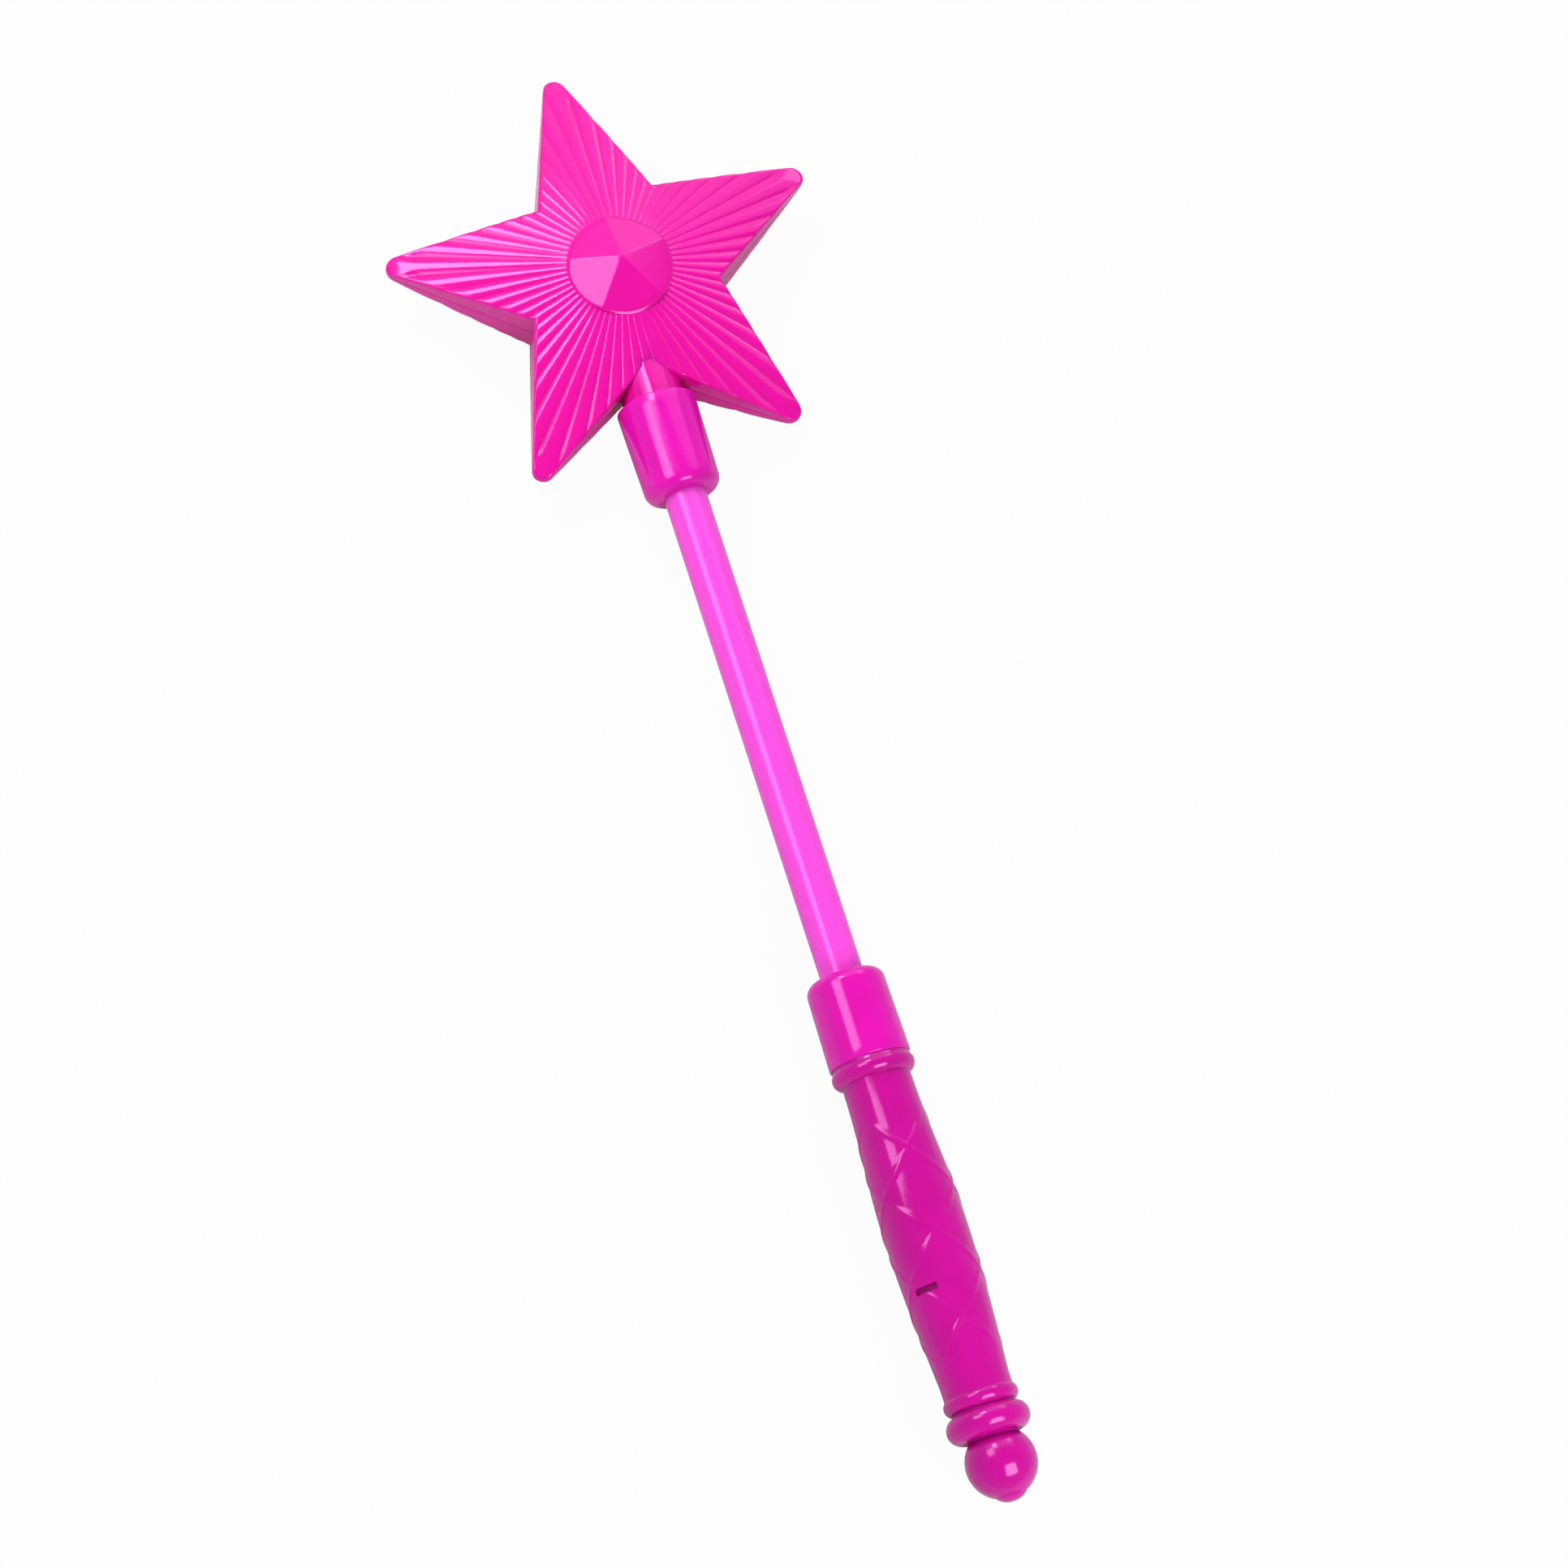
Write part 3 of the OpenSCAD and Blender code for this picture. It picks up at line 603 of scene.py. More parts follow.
@dataclass
class Axis:
    """The wand's middle line."""

    height: float
    edge_ease: float = 1.6

    def point(self, y: float, radius: float, degrees: float) -> tuple[float, float, float]:
        """Place in metres of a point round the axis, with 0 degrees at the front."""
        a = math.radians(degrees)
        return radius * math.sin(a) * MM, y * MM, (self.height + radius * math.cos(a)) * MM

    def shell(self, name: str, stations: Sequence[Station], columns: int, span: Span = Span.WHOLE,
              seam_mm: float = 0.0) -> Piece:
        """Turned wall with an inside and an outside.

        Args:
            name: the piece's name.
            stations: rings from one end to the other.
            columns: points round a whole turn.
            span: part of the turn that is covered.
            seam_mm: how far the outside is eased back at the edges of a half.

        Returns:
            The object, carrying "along", "turn", "skin" and "groove", the painted-shade mask, here zero
            everywhere.
        """
        start, end = span.value
        whole = span is Span.WHOLE
        steps = columns if whole else columns // 2
        angles = [start + (end - start) * j / steps for j in range(steps if whole else steps + 1)]
        if not whole:
            ease = self.edge_ease
            angles = [start, start + ease / 2, start + ease, *angles[1:-1],
                      end - ease, end - ease / 2, end]
        count = len(angles)
        eased = [0.0 if whole else seam_mm * max(0.0, 1 - min(j, count - 1 - j) / 2) for j in range(count)]
        rows = [(s.y, s.outer, 1.0) for s in stations] + [(s.y, s.inner, 0.0) for s in stations]
        points = [self.point(y, r - back * side, a) for y, r, side in rows for a, back in zip(angles, eased)]
        rings = len(stations)
        inside = rings * count
        faces = []
        for j in range(count if whole else count - 1):
            k = (j + 1) % count
            for i in range(rings - 1):
                a, b = i * count, (i + 1) * count
                faces.append((a + j, a + k, b + k, b + j))
                faces.append((inside + a + j, inside + b + j, inside + b + k, inside + a + k))
            for i in (0, rings - 1):
                a = i * count
                faces.append((a + j, a + k, inside + a + k, inside + a + j))
        if not whole:
            for j in (0, count - 1):
                for i in range(rings - 1):
                    a, b = i * count + j, (i + 1) * count + j
                    faces.append((a, b, inside + b, inside + a))
        return add_object(name, points, faces, {
            "along": [y for y, _, _ in rows for _ in angles], "turn": [a / 360 for _ in rows for a in angles],
            "skin": [side for _, _, side in rows for _ in angles], "groove": [0.0] * len(points)})

    def solid(self, name: str, profile: Profile, columns: int) -> Piece:
        """Turned solid from its profile.

        Args:
            name: the piece's name.
            profile: (place along the wand, radius) from end to end; the first and last lie on the axis.
            columns: points round the turn.

        Returns:
            The object.
        """
        piece = polar_sheet(name, list(range(len(profile))), columns)
        rows, turns = (piece.data.attributes[name].data for name in ("row", "turn"))
        for vertex, row, turn in zip(piece.data.vertices, rows, turns):
            y, radius = profile[round(row.value)]
            vertex.co = self.point(y, radius, 360 * turn.value)
        return piece

    def plug(self, name: str, loop: Profile, degrees: float, floor: float, top: float) -> Piece:
        """Block that stands out from the axis, to cut an opening with.

        Args:
            name: the block's name.
            loop: its outline, as (place across, place along the wand) pairs.
            degrees: direction it stands in, from the front.
            floor: distance of its lower face from the axis.
            top: distance of its upper face.

        Returns:
            The object.
        """
        sine, cosine = math.sin(math.radians(degrees)), math.cos(math.radians(degrees))
        points = [((sine * reach + cosine * across) * MM, y * MM,
                   (self.height + cosine * reach - sine * across) * MM)
                  for reach in (floor, top) for across, y in loop]
        count = len(loop)
        faces = [tuple(range(count)), tuple(range(count, 2 * count))]
        faces += [(j, (j + 1) % count, count + (j + 1) % count, count + j) for j in range(count)]
        return settle(add_object(name, points, faces))


def arc(y: float, radius: float, bend: float, start: float, end: float, steps: int) -> Profile:
    """Points of a rounded edge in a profile.

    Args:
        y: place of the bend's centre along the wand.
        radius: distance of that centre from the axis.
        bend: the bend's own radius.
        start: first angle in degrees, from straight out towards +Y.
        end: last angle.
        steps: number of steps between them.

    Returns:
        (place along the wand, radius) pairs.
    """
    angles = [math.radians(start + (end - start) * i / steps) for i in range(steps + 1)]
    return [(y + bend * math.sin(a), radius + bend * math.cos(a)) for a in angles]


def dress(piece: Piece, finish: Finish, body: str, *nodes: str) -> None:
    """Gives a piece its finish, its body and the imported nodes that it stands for.

    Args:
        piece: the finished object.
        finish: its finish.
        body: the body it moves with.
        nodes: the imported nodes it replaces.
    """
    piece.data.materials.clear()
    piece.data.materials.append(finish.material())
    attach(piece, body)
    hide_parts(*nodes)
    LOG.info("%s: %d faces, %s", piece.name, len(piece.data.polygons), finish.name)


class Stage(IntEnum):
    """Stretches of the star's sheet, from the peak of its face over the edge to the inside."""

    FACETS = 0
    BOSS_EDGE = 1
    BOSS_WALL = 2
    RIBS = 3
    RIM = 4
    SIDE = 5
    LIP = 6
    SEAM = 7
    INNER_WALL = 8
    INNER_ROOF = 9


@dataclass
class StarHead:
    """Two ribbed half-stars, each with half of the neck."""

    axis: Axis
    tip_r: float = 59.5
    inner_r: float = 26.4
    tip_round: float = 2.8
    cone_peak: float = 13.4
    cone_tip: float = 1.7
    ribs: int = 60
    rib_depth: float = 0.6
    flare: float = 0.12
    flare_w: float = 3.0
    dome: float = 0.62
    dome_w: float = 6.0
    nib: float = 2.0
    nib_fade: float = 5.5
    boss_r: float = 13.8
    boss_peak: float = 16.8
    boss_edge: float = 11.1
    boss_round: float = 1.6
    boss_drop: float = 0.6
    boss_turn: float = 65.0
    ridge_soft: float = 0.22
    rim_round: float = 1.1
    rim_drop: float = 0.7
    lip: float = 0.22
    wall: float = 1.6
    hollow_peak: float = 11.2
    hollow_r: float = 50.0
    neck_r: float = 8.2
    neck_in: float = 4.0
    neck_show: float = 9.1
    spigot_r: float = 7.8
    spigot_len: float = 22.4
    bore_r: float = 5.6
    neck_edge: float = 0.25
    spigot_edge: float = 0.5
    neck_seam: float = 0.15
    neck_columns: int = 96
    columns: int = 960
    steps: tuple[int, ...] = (9, 6, 2, 26, 5, 3, 2, 1, 1, 4)
    centre: float = field(init=False)

    def __post_init__(self) -> None:
        """Reads the star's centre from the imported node."""
        self.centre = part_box("star_front_shell")[1].y / MM - self.tip_r

    def _edge(self) -> tuple[float, float, float, float]:
        """Straight edge of an arm and the round end that it runs into.

        Returns:
            Distance of the end's centre, lean, distance of the edge, and angle in radians.
        """
        end = self.tip_r - self.tip_round
        dx, dy = self.inner_r * math.cos(HALF_ARM) - end, self.inner_r * math.sin(HALF_ARM)
        lean = math.atan2(dy, dx) - math.acos(self.tip_round / math.hypot(dx, dy))
        distance = end * math.cos(lean) + self.tip_round
        sweep = math.atan2(self.tip_round * math.sin(lean), end + self.tip_round * math.cos(lean))
        return end, lean, distance, sweep

    def _tree(self, side: int) -> ShapeTree:
        """Rule of a half-star's shape.

        Args:
            side: 1 for the front half, -1 for the rear half.

        Returns:
            The tree, ready to run on a polar sheet.
        """
        end, lean, distance, sweep = self._edge()
        own = ("tip_r", "tip_round", "cone_peak", "rib_depth", "flare", "flare_w", "nib", "nib_fade",
               "dome", "dome_w", "boss_r", "boss_peak", "boss_round", "boss_drop", "ridge_soft",
               "rim_round", "rim_drop", "lip", "hollow_peak", "hollow_r")
        tree = ShapeTree("star_half", {
            **{name: getattr(self, name) for name in own},
            "ribs": float(self.ribs), "end": end, "lean": lean, "distance": distance, "sweep": sweep,
            "cone_slope": (self.cone_peak - self.cone_tip) / self.tip_r,
            "boss_slope": (self.boss_peak - self.boss_edge) / self.boss_r,
            "boss_turn": math.radians(self.boss_turn), "inner_share": (distance - self.wall) / distance})
        v = tree.values()
        row, turn = tree.read("row"), tree.read("turn")
        done = {stage: (row - float(stage)).clamp() for stage in Stage}
        quarter = math.pi / 2

        from_arm = (turn * ARMS).fold() * (2 * HALF_ARM)
        aside = v.end * from_arm.sin()
        round_end = v.end * from_arm.cos() \
            + (v.tip_round * v.tip_round - aside * aside).at_least(0.0).root()
        straight = v.distance / (from_arm - v.lean).cos()
        rim = tree.choose(from_arm < v.sweep, round_end, straight)
        inner = (rim * v.inner_share).at_most(v.hollow_r)

        edge_turn, rim_turn = done[Stage.BOSS_EDGE] * v.boss_turn, done[Stage.RIM] * quarter
        radius = (v.boss_r - v.boss_round * v.boss_turn.sin()) * done[Stage.FACETS] \
            + v.boss_round * edge_turn.sin() \
            + (rim - v.rim_round - v.boss_r) * done[Stage.RIBS] \
            + v.rim_round * rim_turn.sin() - v.lip * done[Stage.LIP]
        radius = radius - (rim - v.lip - inner) * done[Stage.SEAM]
        radius = radius * (1 - done[Stage.INNER_ROOF])

        along, across = radius * from_arm.cos(), radius * from_arm.sin()
        soft_across = (across * across + v.ridge_soft * v.ridge_soft).root()
        outward = along * math.cos(HALF_ARM) + soft_across * math.sin(HALF_ARM)
        boss = v.boss_peak - v.boss_slope * outward - v.boss_drop * (1 - edge_turn.cos())

        from_crest = (turn * v.ribs).fold()
        shape = from_crest * from_crest * 4
        nib = ((v.tip_r - v.nib - radius) / v.nib_fade).clamp()
        groove = shape * nib
        away = 1 - ((radius - v.boss_r) / v.flare_w).clamp()
        tip = ((radius - v.tip_r) / v.dome_w + 1).clamp()
        cone = v.cone_peak - v.cone_slope * radius + v.flare * away * away \
            - v.dome * tip * tip - v.rib_depth * (radius / v.tip_r) * groove

        height = tree.choose(done[Stage.BOSS_WALL], cone, boss) - v.rim_drop * (1 - rim_turn.cos())
        height = tree.choose(done[Stage.SIDE], v.lip, height) * (1 - done[Stage.LIP])
        roof = v.hollow_peak * (1 - radius / v.hollow_r)
        height = height + roof * done[Stage.INNER_WALL]

        angle = turn * math.tau
        place = tree.vector(-1 * radius * angle.sin(), radius * angle.cos() + self.centre,
                            height * side + self.axis.height)
        tree.then("GeometryNodeSetPosition", {}, {"Position": place})
        # Mask of painted shade: the material darkens the colour down in the rib grooves.
        tree.keep("groove", groove * done[Stage.RIBS] * (1 - done[Stage.SIDE]))
        return tree

    def half(self, name: str, span: Span, node: str) -> None:
        """Builds and dresses one half of the star.

        Args:
            name: the piece's name.
            span: FRONT or REAR.
            node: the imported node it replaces.
        """
        rows = [0.0]
        for stage, count in zip(Stage, self.steps):
            rows += [stage + (i + 1) / count for i in range(count)]
        side = 1 if span is Span.FRONT else -1
        piece = polar_sheet(name, rows, self.columns)
        self._tree(side).apply(piece, STAR_PINK.material())
        self._add(piece, self._neck(span))
        settle(piece)
        dress(piece, STAR_PINK, "wand", node)

    def _neck(self, span: Span) -> Piece:
        """Half of the neck, with the spigot that the ferrule slides on to.

        Args:
            span: FRONT or REAR.

        Returns:
            The half-neck.
        """
        top = self.centre - self.inner_r + self.neck_in
        shoulder = self.centre - self.inner_r - self.neck_show
        low = shoulder - self.spigot_len
        outline = [(low, self.spigot_r - self.spigot_edge), (low + self.spigot_edge, self.spigot_r),
                   (shoulder - CREASE, self.spigot_r), (shoulder, self.neck_r - self.neck_edge),
                   (shoulder + self.neck_edge, self.neck_r), (top, self.neck_r)]
        stations = [Station(y, r, self.bore_r) for y, r in outline]
        return self.axis.shell("neck", stations, self.neck_columns, span, self.neck_seam)

    @staticmethod
    def _add(piece: Piece, other: Piece) -> None:
        """Puts another object's mesh into a piece and removes that object.

        Args:
            piece: the piece that grows.
            other: the object that goes into it.
        """
        work = bmesh.new()
        work.from_mesh(piece.data)
        work.from_mesh(other.data)
        work.to_mesh(piece.data)
        work.free()
        bpy.data.objects.remove(other)


@dataclass
class Ferrule:
    """Cup that clamps two half-necks or handle shells and passes the stem."""

    axis: Axis
    node: str
    mouth_up: bool
    end_r: float = 10.0
    mouth_r: float = 10.4
    end_round: float = 3.2
    mouth_round: float = 0.5
    end_wall: float = 3.0
    bore_r: float = 5.6
    inner_r: float = 7.9
    mouth_sweep: float = 80.0
    end_steps: int = 14
    side_steps: int = 10
    mouth_steps: int = 5
    columns: int = 160

    def build(self) -> None:
        """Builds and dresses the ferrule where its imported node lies."""
        low, high = (corner.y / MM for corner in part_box(self.node))
        length = high - low
        bend = self.mouth_round
        outside = arc(self.end_round, self.end_r - self.end_round, self.end_round, -90, 0, self.end_steps)
        for i in range(1, self.side_steps):
            share = i / self.side_steps
            outside.append((self.end_round + (length - bend - self.end_round) * share,
                            self.end_r + (self.mouth_r - self.end_r) * share))
        outside += arc(length - bend, self.mouth_r - bend, bend, 0, self.mouth_sweep, self.mouth_steps)
        stations = [Station(y, r, self.bore_r if y < self.end_wall else self.inner_r) for y, r in outside]
        if not self.mouth_up:
            stations = [Station(length - s.y, s.outer, s.inner) for s in reversed(stations)]
        placed = [Station(low + s.y, s.outer, s.inner) for s in stations]
        piece = settle(self.axis.shell(f"{self.node}_cup", placed, self.columns))
        dress(piece, FERRULE_PINK, "wand", self.node)


@dataclass
class Stem:
    """Extruded tube between the ferrules."""

    axis: Axis
    bore_r: float = 4.3
    chamfer: float = 0.3
    columns: int = 128
    rings: int = 40

    def build(self) -> None:
        """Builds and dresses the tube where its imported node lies."""
        low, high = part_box("stem_tube")
        radius = (high.x - low.x) / 2 / MM
        start, end = low.y / MM, high.y / MM
        ends = [Station(start, radius - self.chamfer, self.bore_r)]
        for i in range(self.rings + 1):
            y = start + self.chamfer + (end - start - 2 * self.chamfer) * i / self.rings
            ends.append(Station(y, radius, self.bore_r))
        ends.append(Station(end, radius - self.chamfer, self.bore_r))
        piece = settle(self.axis.shell("stem_outer_tube", ends, self.columns))
        dress(piece, STEM_PINK, "wand", "stem_tube")


@dataclass
class Grip:
    """Two handle shells with their rings, belly, flange bead, criss-cross relief and slot."""

    axis: Axis
    seam_y: float
    low_ring_r: float = 10.5
    low_ring_h: float = 7.0
    up_ring_r: float = 9.4
    up_ring_h: float = 4.6
    groove_r: float = 7.9
    length: float = 80.2
    cove: float = 3.0
    low_r: float = 8.65
    belly_r: float = 10.4
    belly: float = 41.4
    top_r: float = 8.7
    flange_r: float = 10.6
    flange_h: float = 5.0
    spigot_r: float = 7.8
    spigot_len: float = 19.3
    ridge_h: float = 0.24
    ridge_w: float = 1.5
    ridge_starts: float = 3.0
    ridge_lead: float = 64.7
    ridge_sets: tuple[tuple[int, float], ...] = ((1, -0.08), (-1, -0.94))
    relief_low: float = 4.0
    relief_high: float = 9.0
    relief_fade: float = 5.0
    slot_w: float = 6.2
    slot_h: float = 1.8
    slot_angle: float = -38.5
    slot_rise: float = 30.5
    slot_depth: float = 1.6
    slot_round: float = 0.5
    slot_top: float = 14.0
    screw_rises: tuple[float, float] = (44.0, 77.8)
    screw_hole_r: float = 2.3
    screw_depth: float = 2.5
    screw_over: float = 2.0
    mouth: float = -5.7
    bores: tuple[tuple[float, float], ...] = (
        (-4.2, 6.48), (-0.9, 7.4), (8.0, 5.6), (12.5, 6.2), (69.8, 7.0), (93.0, 6.4), (94.5, 4.4),
        (math.inf, 5.6))
    low_ring_start: float = -78.0
    bead_end: float = 40.0
    bead_drop: float = 0.7
    bead_crease: float = 0.02
    seam: float = 0.16
    corner_steps: int = 6
    low_ring_steps: int = 22
    up_ring_steps: int = 14
    bead_steps: int = 16
    screw_sides: int = 40
    columns: int = 200
    ring_step: float = 0.42

    def radius(self, rise: float) -> float:
        """Outer radius of the grip.

        Args:
            rise: height above the upper ring.

        Returns:
            The radius without relief.
        """
        if rise < self.belly:
            share = max(0.0, rise - self.cove) / (self.belly - self.cove)
            return self.low_r + (self.belly_r - self.low_r) * math.sin(math.pi / 2 * share)
        share = (rise - self.belly) / (self.length - self.belly)
        return self.top_r + (self.belly_r - self.top_r) * (1 + math.cos(math.pi * share)) / 2

    def _outline(self) -> Profile:
        """Outside of the handle, from the lower ring to the end of the spigot.

        Returns:
            (height above the seam between the rings, radius) pairs.
        """
        low, up, bead = self.low_ring_h / 2, self.up_ring_h / 2, self.flange_h / 2

        def cut(target: float, edge: float, half: float) -> float:
            """Angle at which a bead comes down to a radius."""
            return math.degrees(math.acos((target - edge + half) / half))

        flange = self.up_ring_h + self.length
        count = int((self.length - self.cove) / self.ring_step)
        path = arc(-low, self.low_ring_r - low, low, self.low_ring_start,
                   cut(self.groove_r, self.low_ring_r, low), self.low_ring_steps)
        path += arc(up, self.up_ring_r - up, up, -cut(self.groove_r, self.up_ring_r, up),
                    cut(self.low_r, self.up_ring_r, up), self.up_ring_steps)
        for i in range(count):
            rise = self.cove + (self.length - self.cove) * i / count
            path.append((self.up_ring_h + rise, self.radius(rise)))
        path += arc(flange + bead, self.flange_r - bead, bead, -cut(self.top_r, self.flange_r, bead),
                    self.bead_end, self.bead_steps)
        top = flange + self.flange_h
        return path + [(top - self.bead_crease, self.flange_r - self.bead_drop), (top, self.spigot_r),
                       (top + self.spigot_len, self.spigot_r)]

    def _bore(self, z: float) -> float:
        """Inner radius at a height above the seam between the rings, with a chamfer at the mouth."""
        bore = next(radius for top, radius in self.bores if z < top)
        return bore + max(0.0, self.mouth - z)

    def _tree(self) -> ShapeTree:
        """Rule of the relief: two sets of low ridges that wind up the grip in opposite ways.

        Returns:
            The tree, ready to run on a handle shell.
        """
        foot = self.seam_y + self.up_ring_h
        tree = ShapeTree("grip_relief", {
            "starts": self.ridge_starts, "lead": self.ridge_lead, "height": self.ridge_h,
            "width": self.ridge_w, "low": foot + self.cove + self.relief_low,
            "high": foot + self.length - self.relief_high, "fade": self.relief_fade, "radius": self.belly_r})
        v = tree.values()
        along, turn, skin = tree.read("along"), tree.read("turn"), tree.read("skin")
        reach = v.width * v.starts / (v.radius * math.tau)
        ridges = None
        for way, offset in self.ridge_sets:
            phase = v.starts * (turn + way * along / v.lead) + offset
            near = (phase.fold() / reach).at_most(1.0)
            round_top = 1 - near * near
            ridge = round_top * round_top
            ridges = ridge if ridges is None else ridges.at_least(ridge)
        ends = ((along - v.low) / v.fade).clamp() * ((v.high - along) / v.fade).clamp()
        height = ridges * ends * skin * v.height
        angle = turn * math.tau
        offset = tree.vector(angle.sin() * height, 0.0, angle.cos() * height)
        tree.then("GeometryNodeSetPosition", {}, {"Offset": offset})
        return tree

    @staticmethod
    def _cut(piece: Piece, cutter: Piece) -> None:
        """Cuts one object out of a piece and removes the cutter.

        Args:
            piece: the piece that is cut.
            cutter: the object that is taken out of it.
        """
        modifier = piece.modifiers.new("cut", "BOOLEAN")
        modifier.operation = "DIFFERENCE"
        modifier.solver = "EXACT"
        modifier.object = cutter
        bake(piece, modifier)
        bpy.data.objects.remove(cutter)

    def _slot_cutter(self) -> Piece:
        """Block with rounded corners that opens the slot for the pull tab.

        Returns:
            The cutter.
        """
        bend, middle = self.slot_round, self.seam_y + self.slot_rise
        wide, high = self.slot_w / 2 - bend, self.slot_h / 2 - bend
        loop = []
        for right, up, start in ((1, 1, 0), (-1, 1, 90), (-1, -1, 180), (1, -1, 270)):
            for i in range(self.corner_steps + 1):
                a = math.radians(start + 90 * i / self.corner_steps)
                loop.append((right * wide + bend * math.cos(a), middle + up * high + bend * math.sin(a)))
        floor = self.radius(self.slot_rise - self.up_ring_h) - self.slot_depth
        return self.axis.plug("slot_cutter", loop, self.slot_angle, floor, self.slot_top)

    def _screw_cutter(self, rise: float) -> Piece:
        """Round plug that opens a screw hole in the back.

        Args:
            rise: height of the hole above the seam between the rings.

        Returns:
            The cutter.
        """
        outer = self.radius(rise - self.up_ring_h)
        angles = [math.tau * j / self.screw_sides for j in range(self.screw_sides)]
        loop = [(-self.screw_hole_r * math.cos(a), self.seam_y + rise + self.screw_hole_r * math.sin(a))
                for a in angles]
        return self.axis.plug("screw_cutter", loop, 180.0, outer - self.screw_depth, outer + self.screw_over)

    def half(self, name: str, span: Span, node: str) -> None:
        """Builds and dresses one handle shell.

        Args:
            name: the piece's name.
            span: FRONT or REAR.
            node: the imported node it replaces.
        """
        stations = [Station(self.seam_y + z, r, self._bore(z)) for z, r in self._outline()]
        piece = self.axis.shell(name, stations, self.columns, span, self.seam)
        self._tree().apply(piece, GRIP_PINK.material())
        settle(piece)
        if span is Span.FRONT:
            self._cut(piece, self._slot_cutter())
        else:
            for rise in self.screw_rises:
                self._cut(piece, self._screw_cutter(rise))
        smooth(piece)
        dress(piece, GRIP_PINK, "wand", node)


@dataclass
class BallButton:
    """Ball at the end of the handle, with its neck, keeper flange and switch rod."""

    axis: Axis
    seam_y: float
    ball_r: float = 8.85
    ball_drop: float = 13.5
    neck_r: float = 6.3
    flange_r: float = 7.2
    flange_low: float = -4.2
    flange_high: float = -2.7
    rod_r: float = 2.0
    rod_end: float = 2.6
    pip_r: float = 3.9
    pip_h: float = 0.8
    pip_power: float = 2.5
    flange_edge: float = 0.2
    rod_edge: float = 0.3
    ball_start: float = -89.0
    ball_steps: int = 110
    columns: int = 128

    def _profile(self) -> Profile:
        """Outline from the pip at the end to the end of the rod.

        Returns:
            (height above the seam between the rings, radius) pairs.
        """
        low = -self.ball_drop - self.ball_r - self.pip_h
        neck = math.degrees(math.acos(self.neck_r / self.ball_r))
        path = [(low, 0.0)]
        for y, r in arc(-self.ball_drop, 0.0, self.ball_r, self.ball_start, neck, self.ball_steps):
            near = min(1.0, r / self.pip_r)
            grown = 1 + self.pip_h / self.ball_r * (1 - near ** self.pip_power)
            path.append((-self.ball_drop + (y + self.ball_drop) * grown, r * grown))
        edge = self.flange_edge
        path += [(self.flange_low - CREASE, self.neck_r)]
        path += [(self.flange_low, self.flange_r - edge), (self.flange_low + edge, self.flange_r)]
        path += [(self.flange_high - edge, self.flange_r), (self.flange_high, self.flange_r - edge)]
        path += [(self.flange_high + CREASE, self.rod_r), (self.rod_end - self.rod_edge, self.rod_r)]
        return path + [(self.rod_end, self.rod_r - self.rod_edge), (self.rod_end, 0.0)]

    def build(self) -> None:
        """Builds and dresses the button."""
        profile = [(self.seam_y + z, r) for z, r in self._profile()]
        piece = settle(self.axis.solid("ball_push_button", profile, self.columns))
        dress(piece, GRIP_PINK, "button", "ball_button")


@dataclass
class CoilSpring:
    """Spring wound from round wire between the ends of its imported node."""

    axis: Axis
    node: str
    low_r: float
    high_r: float
    turns: float
    wire_r: float = 0.25
    turn_points: int = 40
    wire_points: int = 12
    sharp_degrees: float = 50.0

    def build(self) -> Piece:
        """Winds the spring and dresses it.

        Returns:
            The spring.
        """
        low, high = (corner.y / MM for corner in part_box(self.node))
        tree = ShapeTree(f"{self.node}_coil", {
            "turns": self.turns, "low_r": self.low_r * MM, "high_r": self.high_r * MM,
            "height": (high - low - 2 * self.wire_r) * MM, "wire_r": self.wire_r * MM})
        v = tree.values()
        wound = tree.node("GeometryNodeCurveSpiral", {}, {
            "Resolution": self.turn_points, "Rotations": v.turns,
            "Start Radius": v.low_r, "End Radius": v.high_r, "Height": v.height})
        wire = tree.node("GeometryNodeCurvePrimitiveCircle", {"mode": "RADIUS"}, {
            "Resolution": self.wire_points, "Radius": v.wire_r})
        tube = tree.node("GeometryNodeCurveToMesh", {}, {
            "Curve": wound.outputs[0], "Profile Curve": wire.outputs[0], "Fill Caps": True})
        tree.geometry = tube.outputs[0]
        start = (0.0, (low + self.wire_r) * MM, self.axis.height * MM)
        tree.then("GeometryNodeTransform", {}, {"Rotation": (-math.pi / 2, 0.0, 0.0), "Translation": start})
        piece = add_object(f"{self.node}_wire", [], [])
        tree.apply(piece, PLATED.material())
        settle(piece, self.sharp_degrees)
        dress(piece, PLATED, "wand", self.node)
        return piece


@dataclass
class InnerWorks:
    """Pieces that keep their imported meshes: lamp, wires, cells, switch and screws."""

    finishes: tuple[tuple[Finish, tuple[str, ...]], ...] = (
        (WHITE_PLASTIC, ("lamp_holder", "cell_sleeve")),
        (LENS, ("star_lamp",)),
        (PLATED, ("lamp_leads", "handle_screws", "cell_lower", "cell_middle", "cell_upper", "contact_plate",
                  "switch_pins")),
        (RED_SLEEVE, ("red_wire",)),
        (BLACK_PLASTIC, ("black_wire", "switch_body", "switch_plunger", "flasher_chip")),
        (BOARD_LACQUER, ("switch_board",)),
    )

    def dress(self) -> None:
        """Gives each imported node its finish."""
        for finish, names in self.finishes:
            for name in names:
                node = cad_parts[name]
                node.data.materials.clear()
                node.data.materials.append(finish.material())
                LOG.info("%s: packed mesh, %s", name, finish.name)


